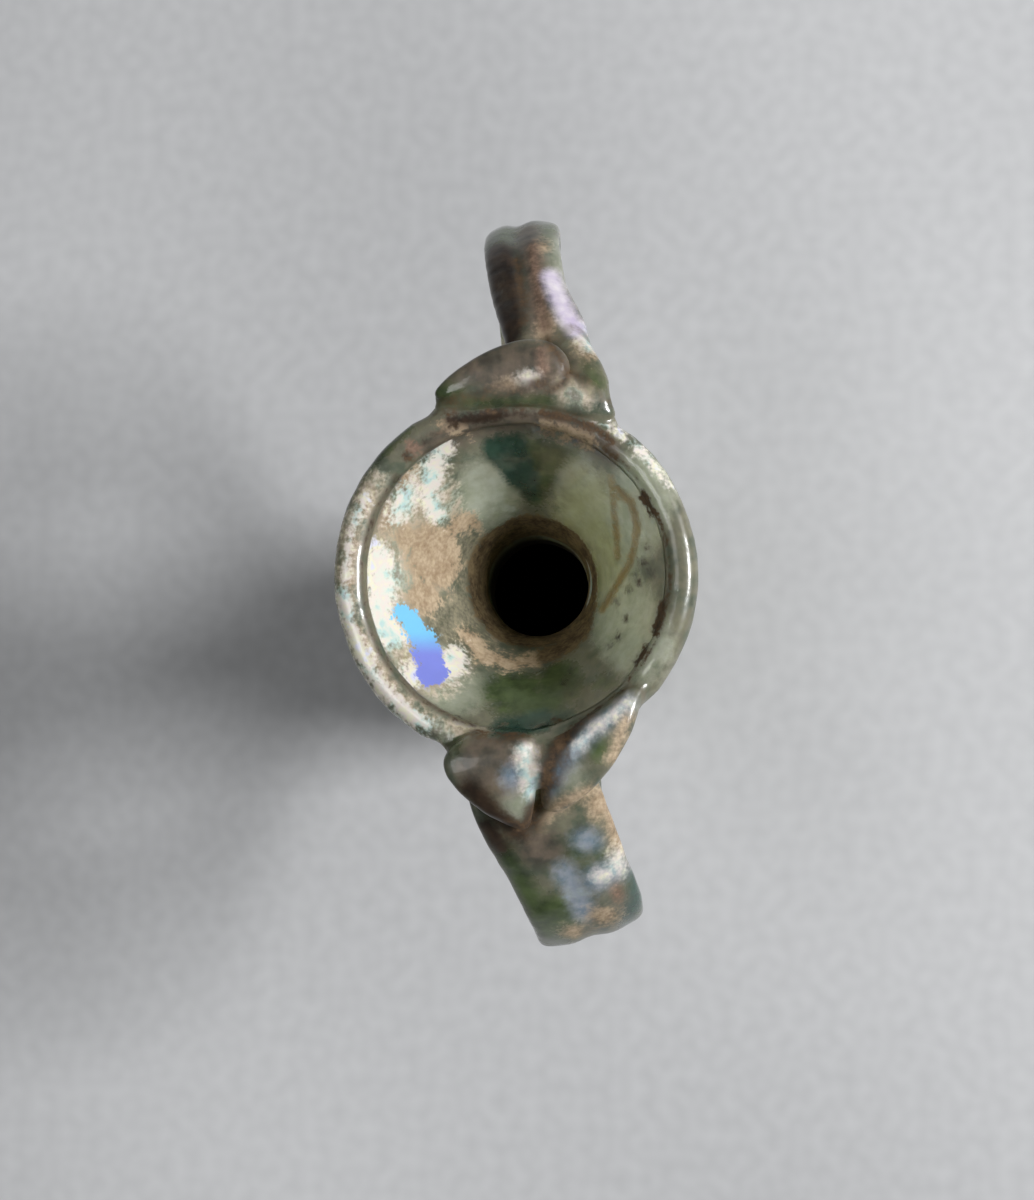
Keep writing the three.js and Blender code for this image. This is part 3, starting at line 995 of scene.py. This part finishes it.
BROAD_PATCHES = (
    Spot(Coat.TAUPE, BROAD, (-21.5, 1.5), (4.0, 5.0)),
    Spot(Coat.TAUPE, BROAD, (-31.4, -2.4), (2.4, 2.8)),
    Spot(Coat.SKY, BROAD, (-30.6, -8.0), (1.3, 1.6)),
    Spot(Coat.CLEAR, BROAD, (-26.2, -0.8), (2.2, 1.5)),
    Spot(Coat.CLEAR, BROAD, (-23.2, -6.9), (1.2, 1.0)),
    # Painted shade along the left edges of the broad tongue and strap.
    Streak(Coat.OLIVE, BROAD, ((-19.0, 6.6), (-22.0, 4.6), (-24.2, 3.0)), 1.0),
    Streak(Coat.OLIVE, BROAD, ((-32.0, 1.6), (-34.2, 0.6), (-36.7, -0.3), (-38.5, -1.0)), 1.4),
    Spot(Coat.OLIVE, BROAD, (-40.6, -3.2), (3.4, 3.2)),
    Spot(Coat.OLIVE, BROAD, (-31.9, -6.7), (1.2, 1.3)),
    Spot(Coat.OLIVE, BROAD, (-32.5, -9.3), (0.7, 0.7)),
    Spot(Coat.OLIVE, BROAD, (-34.0, -7.6), (1.0, 0.7)),
    Spot(Coat.OLIVE, BROAD, (-20.3, 1.5), (1.7, 1.8)),
    Spot(Coat.OLIVE, BROAD, (-19.6, -9.8), (1.4, 1.3)),
    Streak(Coat.TEAL, BROAD, ((-35.0, -13.2), (-38.5, -13.2), (-41.0, -11.6)), 1.1),
    Streak(Coat.SKY, BROAD, ((-34.6, -5.2), (-37.7, -6.6), (-39.5, -7.0)), 1.3),
    Spot(Coat.SKY, BROAD, (-23.0, 0.0), (1.2, 1.0)),
    Streak(Coat.PEARL, BROAD, ((-19.9, -1.6), (-22.4, -2.0), (-24.7, -2.2)), 0.9),
    # Painted bluish highlight on the broad strap.
    Streak(Coat.SKY, BROAD, ((-35.6, -8.4), (-34.4, -10.8)), 1.4),
    # Painted white highlight on the broad strap, over a bluish one.
    Streak(Coat.PEARL, BROAD, ((-35.2, -8.8), (-34.4, -10.8)), 0.5),
    Spot(Coat.PEARL, BROAD, (-33.4, -11.2), (1.3, 0.8)),
    # Painted bluish-white highlight along the rolled edge of the lobe.
    Streak(
        Coat.SKY,
        BROAD,
        ((-24.4, -4.0), (-22.2, -5.6), (-19.5, -7.4), (-17.6, -9.4), (-15.7, -11.7), (-14.6, -13.0)),
        0.9,
    ),
    # Painted white highlight along the lobe's rolled edge.
    Streak(Coat.PEARL, BROAD, ((-19.5, -7.6), (-17.6, -9.5), (-15.7, -11.8), (-14.6, -13.1)), 0.25),
    Streak(Coat.TAN, BROAD, ((-28.8, -2.4), (-26.8, -4.2), (-25.4, -7.0), (-24.6, -8.8)), 0.7),
    Spot(Coat.TAN, BROAD, (-26.2, -9.6), (1.9, 1.5)),
    Streak(Coat.TAN, BROAD, ((-27.5, -10.6), (-31.5, -11.4)), 0.8),
    Spot(Coat.TAN, BROAD, (-40.2, -9.2), (1.3, 1.9)),
    Spot(Coat.TAN, BROAD, (-42.3, -5.4), (0.9, 1.3)),
    Spot(Coat.RUST, BROAD, (-37.3, -11.0), (1.2, 0.7)),
    Streak(Coat.TAN, BROAD, ((-16.4, -13.2), (-18.0, -12.5), (-20.8, -11.6)), 0.6),
    # Painted shadow under the broad tongue.
    Streak(Coat.BROWN, BROAD, ((-24.4, 4.6), (-27.4, 1.9), (-29.4, -0.2)), 1.4),
    Streak(Coat.BROWN, BROAD, ((-28.8, 3.4), (-31.2, 2.2)), 1.3),
    # Painted shadow under the tip of the broad tongue.
    Spot(Coat.DIRT, BROAD, (-28.9, -0.6), (0.9, 1.9)),
    # The V crease of the broad handle is darkened in brown and dirt: painted shade in the groove, partly
    # dirt.
    Streak(Coat.BROWN, BROAD, BROAD_CREASE, 1.1),
    Streak(Coat.DIRT, BROAD, BROAD_CREASE, 0.7),
)


@dataclass
class Weathering:
    """Lays the weathering coats, painted shade, highlights and glow among them, on the flask's skin as
    distances in from their edges.
    """

    limit: float = 3.0
    funnel_level: float = 79.5
    funnel_fade: float = 0.5
    facing: tuple[float, float] = (-0.25, 0.15)
    handle_level: float = 70.0
    handle_fade: float = 6.0
    crease_reach: float = 0.45
    crease_swing: float = 0.4
    crease_level: float = 0.1
    crease_length: float = 5.0
    crease_seed: int = 21
    darkening_level: float = 72.0
    lip_level: float = 78.0
    lip_half: float = 4.0
    clear_side: float = -5.0
    clear_level: float = 82.0
    clear_fade: float = 1.0
    level_slope: float = 2.0
    flake_reflection_from: float = -3.4
    flake_reflection_to: float = -11.6
    flattening: float = 1.7
    spread: dict[Coat, tuple[float, float, int]] = field(
        default_factory=lambda: {
            Coat.CLEAR: (0.1, 24.0, 11),
            Coat.OLIVE: (1.35, 18.0, 12),
            Coat.TAUPE: (0.85, 20.0, 13),
            Coat.PALE: (0.85, 18.0, 16),
            Coat.TAN: (1.3, 13.0, 15),
            Coat.PEARL: (1.5, 13.0, 14),
        }
    )

    def openness(self, skin: FusedSkin) -> dict[Part, Array]:
        """Say where patches placed in plan may lie, part by part.

        A point counts by the share of its faces that belong to the part, and only on the side that
        is seen from above: the funnel over the neck, and the upper faces of the handles.

        Args:
            skin: The flask's skin.

        Returns:
            For each part, values from 0 to 1 at the points.
        """
        high = skin.points[:, 2]
        facing = smooth_step(*self.facing, skin.normals()[:, 2])
        above = smooth_step(self.handle_level, self.handle_level + self.handle_fade, high) * facing
        in_funnel = smooth_step(-self.funnel_fade, self.funnel_fade, high - self.funnel_level)
        narrow, broad = Part.NARROW.value, Part.BROAD.value
        return {
            Part.OUTSIDE: skin.share_of(0, 1) * above,
            Part.RIM: skin.share_of(1, 2),
            Part.INSIDE: skin.share_of(2, 3) * in_funnel,
            Part.NARROW: skin.share_of(narrow, narrow + BANDS_PER_HANDLE) * above,
            Part.BROAD: skin.share_of(broad, broad + BANDS_PER_HANDLE) * above,
        }

    def lay(self, skin: FusedSkin) -> None:
        """Work out every coat and store it on the mesh.

        A coat's value is the greatest of its patches' depths, each held below the depth to which
        its parts reach. Where no patch is placed, on the sides that the photograph hides, coats
        spread by chance: a random wave less a level, which leaves separate patches, lower than
        they are wide.

        Args:
            skin: The flask's skin.
        """
        plan, high = skin.points[:, :2], skin.points[:, 2]
        open_to = self.openness(skin)
        depths = {coat: np.full(len(plan), -self.limit) for coat in Coat}
        pits = tuple(Spot(Coat.BROWN, INSIDE, (x, y), (r, r)) for x, y, r in PIT_PLACES)
        for patch in FUNNEL_PATCHES + pits + NARROW_PATCHES + BROAD_PATCHES:
            reach = sum(open_to[part] for part in patch.parts)
            held = np.minimum(patch.depth(plan), (2.0 * reach - 1.0) * self.limit)
            depths[patch.coat] = np.maximum(depths[patch.coat], held)
        clear = np.minimum(self.clear_side - plan[:, 1], (high - self.clear_level) / self.level_slope)
        clear = np.minimum(clear, (2.0 * skin.share_of(0, 1) - 1.0) * self.limit)
        depths[Coat.CLEAR] = np.maximum(depths[Coat.CLEAR], clear)
        see_through = smooth_step(-self.clear_fade, self.clear_fade, clear)
        seen = np.maximum(np.clip(sum(open_to.values()), 0.0, 1.0), see_through)
        flattened = skin.points * (1.0, 1.0, self.flattening)
        for coat, (level, length, seed) in self.spread.items():
            chance = (waves(flattened, length, seed) - level) * self.limit
            chance = np.minimum(chance, (1.0 - 2.0 * seen) * self.limit)
            depths[coat] = np.maximum(depths[coat], chance)
        # Dark lines along the seams where parts meet: painted shade in the creases, partly dirt.
        in_crease = self.crease_reach - skin.crease
        broken = self.crease_swing * waves(skin.points, self.crease_length, self.crease_seed)
        in_crease = np.minimum(in_crease, broken - self.crease_level)
        depths[Coat.DIRT] = np.maximum(depths[Coat.DIRT], in_crease)
        within = (2.0 * skin.share_of(Part.INSIDE.value, Part.INSIDE.value + 1) - 1.0) * self.limit
        lip = np.minimum(self.lip_half - np.abs(high - self.lip_level), within)
        depths[Coat.LIP] = np.maximum(depths[Coat.LIP], lip)
        # Inside the neck and body, below the darkening level, the surface grows darker the deeper it lies.
        darkening = np.minimum((self.darkening_level - high) / self.level_slope, within)
        depths[Coat.EARTH] = np.maximum(depths[Coat.EARTH], darkening)
        for coat, depth in depths.items():
            skin.store(coat.value, np.clip(depth, -self.limit, self.limit))
        # The flake's painted reflection turns from blue to violet along X.
        along = (skin.points[:, 0] - self.flake_reflection_from) / (self.flake_reflection_to - self.flake_reflection_from)
        skin.store("flake_reflection_along", np.clip(along, 0.0, 1.0))
        on_handle = skin.share_of(Part.NARROW.value, Part.BROAD.value + BANDS_PER_HANDLE)
        skin.store("blur", np.maximum(on_handle, 1.0 - seen))


Socket = bpy.types.NodeSocket
Value = Socket | float | tuple


class NodeBoard:
    """Adds and links the nodes of one node tree."""

    def __init__(self, tree: bpy.types.NodeTree) -> None:
        """Take the tree to work on."""
        self.tree = tree

    def add(self, kind: str, inputs: dict[str, Value] | None = None, **settings: object) -> bpy.types.Node:
        """Add a node.

        Args:
            kind: Type of the node.
            inputs: Plain values or sockets for its inputs, by name or number.
            settings: Properties of the node.

        Returns:
            The node.
        """
        node = self.tree.nodes.new(kind)
        for name, value in settings.items():
            setattr(node, name, value)
        for name, value in (inputs or {}).items():
            self.feed(node.inputs[name], value)
        return node

    def feed(self, socket: Socket, value: Value) -> None:
        """Link a socket to an input, or set the input's plain value."""
        if isinstance(value, bpy.types.NodeSocket):
            self.tree.links.new(value, socket)
        else:
            socket.default_value = value

    def math(self, operation: str, *values: Value) -> Socket:
        """Add a math node and give its result."""
        return self.add("ShaderNodeMath", dict(enumerate(values)), operation=operation).outputs[0]

    def mix_value(self, share: Value, low: Value, high: Value) -> Socket:
        """Mix two values by a share."""
        return self.add("ShaderNodeMix", {0: share, 2: low, 3: high}, data_type="FLOAT").outputs[0]

    def mix_colour(self, share: Value, low: Value, high: Value) -> Socket:
        """Mix two colours by a share."""
        return self.add("ShaderNodeMix", {0: share, 6: low, 7: high}, data_type="RGBA").outputs[2]

    def noise(self, place: Socket, size: float, detail: float) -> Socket:
        """Add a noise whose features have about the given size in millimetres."""
        wanted = {"Vector": place, "Scale": 1.0 / (size * MM), "Detail": detail}
        return self.add("ShaderNodeTexNoise", wanted).outputs[0]

    def group(self, tree: bpy.types.NodeTree, inputs: dict[str, Value]) -> Socket:
        """Place a node group with its own inputs and give its output."""
        node = self.add("ShaderNodeGroup", node_tree=tree)
        for name, value in inputs.items():
            self.feed(node.inputs[name], value)
        return node.outputs[0]

    def attribute(self, name: str) -> Socket:
        """Read an attribute of the mesh."""
        return self.add("ShaderNodeAttribute", attribute_name=name).outputs["Fac"]


def new_group(
    name: str, inputs: dict[str, str], output: tuple[str, str]
) -> tuple[NodeBoard, bpy.types.bpy_prop_collection, Socket]:
    """Start a shader node group.

    Args:
        name: Name of the group.
        inputs: Names and socket types of its inputs.
        output: Name and socket type of its output.

    Returns:
        The group's board, its input node's outputs and its output socket.
    """
    tree = bpy.data.node_groups.new(name, "ShaderNodeTree")
    for label, kind in inputs.items():
        tree.interface.new_socket(label, in_out="INPUT", socket_type=kind)
    tree.interface.new_socket(output[0], in_out="OUTPUT", socket_type=output[1])
    board = NodeBoard(tree)
    into = board.add("NodeGroupInput")
    out_of = board.add("NodeGroupOutput")
    return board, into.outputs, out_of.inputs[output[0]]


PLAIN_RAGGED = 2.0
BLURRED_RAGGED = 1.3
BLURRED_SOFT = 0.4
TONE_NOISE = (0.3, 0.7)
PEARLY_NOISE = (0.34, 0.66)


def ragged_edge_group() -> bpy.types.NodeTree:
    """Build the group that turns a coat's depth into a mask with a ragged edge.

    The noise, less its middle value, moves the edge in and out by up to the ragged distance, and
    the mask eases from 0 to 1 over the soft distance on both sides of it. Blur, from 0 to 1, makes
    the soft distance longer and the ragged distance shorter.

    Returns:
        The node group.
    """
    plain = "NodeSocketFloat"
    inputs = {"Depth": plain, "Noise": plain, "Ragged": plain, "Soft": plain, "Blur": plain}
    board, into, mask = new_group("ragged_edge", inputs, ("Mask", plain))
    swept = board.mix_value(into["Blur"], PLAIN_RAGGED, BLURRED_RAGGED)
    ragged = board.math("MULTIPLY", into["Ragged"], swept)
    swing = board.math("SUBTRACT", into["Noise"], 0.5)
    moved = board.math("MULTIPLY_ADD", swing, ragged, into["Depth"])
    soft = board.math("MULTIPLY_ADD", into["Blur"], BLURRED_SOFT, into["Soft"])
    outer = board.math("MULTIPLY", soft, -1.0)
    eased = board.add(
        "ShaderNodeMapRange",
        {"Value": moved, "From Min": outer, "From Max": soft},
        interpolation_type="SMOOTHSTEP",
    )
    board.feed(mask, eased.outputs[0])
    return board.tree


def two_tone_group() -> bpy.types.NodeTree:
    """Build the group that mottles a coat between two tones by a noise drawn apart at its middle.

    Returns:
        The node group.
    """
    tones = {"Low": "NodeSocketColor", "High": "NodeSocketColor", "Noise": "NodeSocketFloat"}
    board, into, colour = new_group("two_tone", tones, ("Colour", "NodeSocketColor"))
    share = board.add(
        "ShaderNodeMapRange",
        {"Value": into["Noise"], "From Min": TONE_NOISE[0], "From Max": TONE_NOISE[1]},
        interpolation_type="SMOOTHSTEP",
    )
    board.feed(colour, board.mix_colour(share.outputs[0], into["Low"], into["High"]))
    return board.tree


PEARLY_TINTS = (
    (0.0, (226, 238, 255)),
    (1.0, (232, 232, 255)),
    (0.22, (216, 248, 251)),
    (0.42, (255, 253, 246)),
    (0.6, (255, 241, 238)),
    (0.78, (250, 246, 220)),
)


def pearly_group() -> bpy.types.NodeTree:
    """Build the group that tints a colour with the pale rainbow of weathered glass.

    The noise runs along a ramp of pale tints, and the share mixes the tinted colour in.

    Returns:
        The node group.
    """
    inputs = {"Colour": "NodeSocketColor", "Noise": "NodeSocketFloat", "Share": "NodeSocketFloat"}
    board, into, colour = new_group("pearly", inputs, ("Colour", "NodeSocketColor"))
    spread = {"Value": into["Noise"], "From Min": PEARLY_NOISE[0], "From Max": PEARLY_NOISE[1]}
    drawn = board.add("ShaderNodeMapRange", spread)
    ramp = board.add("ShaderNodeValToRGB", {"Fac": drawn.outputs[0]})
    stops = ramp.color_ramp.elements
    for number, (place, tint) in enumerate(PEARLY_TINTS):
        stop = stops[number] if number < 2 else stops.new(place)
        stop.position = place
        stop.color = linear(*tint)
    tinted = board.add("ShaderNodeMix", {0: 1.0, 6: into["Colour"], 7: ramp.outputs[0]}, data_type="RGBA")
    tinted.blend_type = "MULTIPLY"
    board.feed(colour, board.mix_colour(into["Share"], into["Colour"], tinted.outputs[2]))
    return board.tree


@dataclass
class WeatheredGlass:
    """The flask's material: pale green glass under coats of film, crust, stain and dirt, with painted
    shade, painted highlights, a painted reflection and a painted glow among them.
    """

    name: str = "weathered_glass"
    glass_tint: tuple[float, float, float, float] = (0.86, 0.92, 0.8, 1.0)
    glass_roughness: float = 0.08
    refraction: float = 1.5
    absorption_tint: tuple[float, float, float, float] = (0.58, 0.8, 0.52, 1.0)
    absorption: float = 70.0
    grain_size: float = 0.45
    grain_detail: float = 4.0
    blotch_size: float = 1.6
    blotch_detail: float = 3.0
    cloud_size: float = 5.0
    cloud_detail: float = 3.0
    relief: float = 0.14
    relief_strength: float = 0.45
    glow_through: float = 0.5
    glow_reach: tuple[float, float, float] = (1.0, 1.1, 0.7)
    glow_scale: float = 2.8
    gloss_roughness: float = 0.06

    def build(self) -> bpy.types.Material:
        """Stack the coats over the glass.

        Each coat's mask mixes its colour and its finish, which is cover, roughness and gloss as three
        channels, over those below it. The cover then shares the surface between clear glass and coats.

        Returns:
            The material.
        """
        material = bpy.data.materials.new(self.name)
        material.use_nodes = True
        material.node_tree.nodes.clear()
        board = NodeBoard(material.node_tree)
        place = board.add("ShaderNodeTexCoord").outputs["Object"]
        grain = board.noise(place, self.grain_size, self.grain_detail)
        blotch = board.noise(place, self.blotch_size, self.blotch_detail)
        cloud = board.noise(place, self.cloud_size, self.cloud_detail)
        edge, tone, pearly = ragged_edge_group(), two_tone_group(), pearly_group()
        fine = board.mix_value(0.5, grain, blotch)
        broad = board.mix_value(0.5, blotch, cloud)
        blur = board.attribute("blur")
        along_flake_reflection = board.attribute("flake_reflection_along")
        colour, finish = None, None
        for look in (BASE_FILM, *COAT_LOOKS):
            noise = fine if look.fine else broad
            # The flake's painted reflection is toned along its length, not by noise.
            noise = along_flake_reflection if look.coat is Coat.FLAKE else noise
            tones = {"Low": linear(*look.low), "High": linear(*look.high), "Noise": noise}
            shade = board.group(tone, tones)
            if look.pearly:
                shade = board.group(pearly, {"Colour": shade, "Noise": broad, "Share": look.pearly})
            own_finish = (look.cover, look.roughness, look.gloss, 1.0)
            if colour is None:
                colour, finish = shade, own_finish
                continue
            depth = board.attribute(look.coat.value)
            rag = {"Depth": depth, "Noise": fine, "Ragged": look.ragged, "Soft": look.soft, "Blur": blur}
            mask = board.group(edge, rag)
            colour = board.mix_colour(mask, colour, shade)
            finish = board.mix_colour(mask, finish, own_finish)
        cover, roughness, gloss = board.add("ShaderNodeSeparateColor", {0: finish}).outputs
        bump = board.add(
            "ShaderNodeBump",
            {"Height": blotch, "Strength": self.relief_strength, "Distance": self.relief * MM},
        )
        glass = board.add(
            "ShaderNodeBsdfPrincipled",
            {
                "Base Color": self.glass_tint,
                "Roughness": self.glass_roughness,
                "IOR": self.refraction,
                "Transmission Weight": 1.0,
                "Normal": bump.outputs[0],
            },
        )
        crust = board.add(
            "ShaderNodeBsdfPrincipled",
            {
                "Base Color": colour,
                "Roughness": roughness,
                "Coat Weight": gloss,
                "Coat Roughness": self.gloss_roughness,
                "Subsurface Weight": self.glow_through,
                "Subsurface Radius": self.glow_reach,
                "Subsurface Scale": self.glow_scale * MM,
                "Normal": bump.outputs[0],
            },
            subsurface_method="BURLEY",
        )
        surface = board.add("ShaderNodeMixShader", {0: cover, 1: glass.outputs[0], 2: crust.outputs[0]})
        depth = board.add(
            "ShaderNodeVolumeAbsorption", {"Color": self.absorption_tint, "Density": self.absorption}
        )
        output = board.add("ShaderNodeOutputMaterial")
        board.feed(output.inputs["Surface"], surface.outputs[0])
        board.feed(output.inputs["Volume"], depth.outputs[0])
        return material


@dataclass
class Flask:
    """The whole flask: the vessel with both handles fused to it, softened and weathered."""

    name: str = "flask_glass"
    seam_reach: float = 0.8
    seam_rounds: int = 5
    flow_reach: float = 3.2
    flow_rounds: int = 45
    crisp_reach: float = 1.6
    crisp_fade: float = 3.0
    swell: float = 0.05
    swell_length: float = 6.0
    swell_seed: int = 31
    ripple: float = 0.018
    ripple_length: float = 1.8
    ripple_seed: int = 32

    def build(self) -> bpy.types.Object:
        """Fuse the vessel and its handles.

        Returns:
            The flask as one closed object.
        """
        vessel = BlownVessel()
        flask = vessel.skin().to_object(self.name)
        handles = narrow_handle(vessel.height).build()
        fuse(handles, broad_handle(vessel.height).build(), "UNION")
        fuse(handles, vessel.hollow().to_object("hollow"), "DIFFERENCE")
        fuse(flask, handles, "UNION")
        return flask

    def dress(self, flask: bpy.types.Object) -> None:
        """Soften the seams, roughen the skin, lay the weathering and give the flask its material.

        Args:
            flask: The fused object.
        """
        skin = FusedSkin(flask)
        crisp = np.zeros(len(skin.points))
        for path in CRISP_CREASES:
            away = -Streak(Coat.DIRT, (), path, 0.0).depth(skin.points[:, :2])
            crisp = np.maximum(crisp, 1.0 - smooth_step(0.5 * self.crisp_reach, self.crisp_reach, away))
        level = Weathering.handle_level
        crisp *= smooth_step(level, level + self.crisp_fade, skin.points[:, 2])
        skin.soften(self.flow_reach, self.flow_rounds, crisp)
        skin.soften(self.seam_reach, self.seam_rounds, np.zeros_like(crisp))
        skin.roughen(self.swell, self.swell_length, self.swell_seed)
        skin.roughen(self.ripple, self.ripple_length, self.ripple_seed)
        Weathering().lay(skin)
        skin.mesh.shade_smooth()
        skin.mesh.materials.clear()
        skin.mesh.materials.append(WeatheredGlass().build())
        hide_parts("flask")
        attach(flask, "root")


@dataclass
class Studio:
    """The pale floor, the soft light and the camera that looks down into the mouth."""

    rim_level: float = 100.0
    aim: tuple[float, float] = (-2.86, -0.52)
    distance: float = 240.0
    tilt: float = 7.5
    lean: float = 30.0
    lens: float = 62.91
    nearest: float = 10.0
    floor_half: float = 3000.0
    # Floor tones, mixed by the paper's grain and by painted uneven light.
    floor_low: tuple[int, int, int] = (178, 179, 181)
    floor_high: tuple[int, int, int] = (228, 229, 231)
    grain_size: float = 2.4
    cloud_size: float = 110.0
    grain_share: float = 0.25
    floor_roughness: float = 0.9
    floor_gloss: float = 0.1
    sky: float = 0.07
    sky_tint: tuple[float, float, float, float] = (0.95, 0.98, 1.0, 1.0)

    def floor(self) -> None:
        """Lay a flat pale sheet under the foot, its colour varied by paper grain and by painted uneven
        light.
        """
        half = self.floor_half * MM
        mesh = bpy.data.meshes.new("floor")
        corners = ((-half, -half, 0.0), (half, -half, 0.0), (half, half, 0.0), (-half, half, 0.0))
        mesh.from_pydata(corners, [], [(0, 1, 2, 3)])
        sheet = bpy.data.objects.new("floor", mesh)
        bpy.context.scene.collection.objects.link(sheet)
        material = bpy.data.materials.new("pale_sheet")
        material.use_nodes = True
        board = NodeBoard(material.node_tree)
        place = board.add("ShaderNodeTexCoord").outputs["Object"]
        grain = board.noise(place, self.grain_size, 0.0)
        # The broad cloud noise paints uneven light on the sheet; the fine grain is the paper's own.
        cloud = board.noise(place, self.cloud_size, 0.0)
        grain_and_painted_light = board.mix_value(self.grain_share, cloud, grain)
        shader = material.node_tree.nodes["Principled BSDF"]
        tone = board.mix_colour(grain_and_painted_light, linear(*self.floor_low), linear(*self.floor_high))
        board.feed(shader.inputs["Base Color"], tone)
        shader.inputs["Roughness"].default_value = self.floor_roughness
        shader.inputs["Specular IOR Level"].default_value = self.floor_gloss
        mesh.materials.append(material)

    def light(self, name: str, turn: float, rise: float, reach: float, size: float, power: float) -> None:
        """Hang a square soft light that faces the flask.

        Args:
            name: Name of the light.
            turn: Direction from the flask in degrees from +X.
            rise: Angle above the floor in degrees.
            reach: Distance in millimetres.
            size: Side of the square in millimetres.
            power: Power in watts.
        """
        lamp = bpy.data.lights.new(name, "AREA")
        lamp.size = size * MM
        lamp.energy = power
        turn, rise = np.radians(turn), np.radians(rise)
        way = Vector((np.cos(rise) * np.cos(turn), np.cos(rise) * np.sin(turn), np.sin(rise)))
        hung = bpy.data.objects.new(name, lamp)
        hung.location = way * reach * MM
        hung.rotation_mode = "QUATERNION"
        hung.rotation_quaternion = way.to_track_quat("Z", "Y")
        bpy.context.scene.collection.objects.link(hung)

    def surroundings(self) -> None:
        """Fill the room with even pale light and show colours as they are."""
        world = bpy.data.worlds.new("room")
        world.use_nodes = True
        shade = world.node_tree.nodes["Background"]
        shade.inputs["Color"].default_value = self.sky_tint
        shade.inputs["Strength"].default_value = self.sky
        scene = bpy.context.scene
        scene.world = world
        scene.view_settings.view_transform = "Standard"

    def camera(self) -> None:
        """Look down at the mouth from the photograph's place, with +X up in the picture."""
        tilt, lean = np.radians(self.tilt), np.radians(self.lean)
        way = np.array([-np.sin(lean) * np.sin(tilt), -np.cos(lean) * np.sin(tilt), np.cos(tilt)])
        eye = np.array([0.0, 0.0, self.rim_level]) + self.distance * way
        forward = np.array([*self.aim, self.rim_level]) - eye
        forward /= np.linalg.norm(forward)
        right = np.cross(forward, (1.0, 0.0, 0.0))
        right /= np.linalg.norm(right)
        axes = np.stack([right, np.cross(right, forward), -forward], axis=1)
        data = bpy.data.cameras.new("camera")
        data.lens = self.lens
        data.clip_start = self.nearest * MM
        eyepiece = bpy.data.objects.new("camera", data)
        eyepiece.matrix_world = Matrix.Translation(eye * MM) @ Matrix(axes.tolist()).to_4x4()
        bpy.context.scene.collection.objects.link(eyepiece)
        bpy.context.scene.camera = eyepiece

    def build(self) -> None:
        """Set up floor, light and camera."""
        self.floor()
        self.surroundings()
        self.light("window", turn=-83.0, rise=42.0, reach=900.0, size=240.0, power=7.8)
        self.light("lamp", turn=100.0, rise=64.0, reach=900.0, size=360.0, power=1.3)
        self.camera()


def main() -> None:
    """Load the frame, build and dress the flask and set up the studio."""
    logging.basicConfig(level=logging.INFO, format="%(message)s")
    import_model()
    flask = Flask()
    glass = flask.build()
    flask.dress(glass)
    LOG.info("%s: %d points, %d faces", glass.name, len(glass.data.vertices), len(glass.data.polygons))
    Studio().build()


if __name__ == "__main__":
    main()
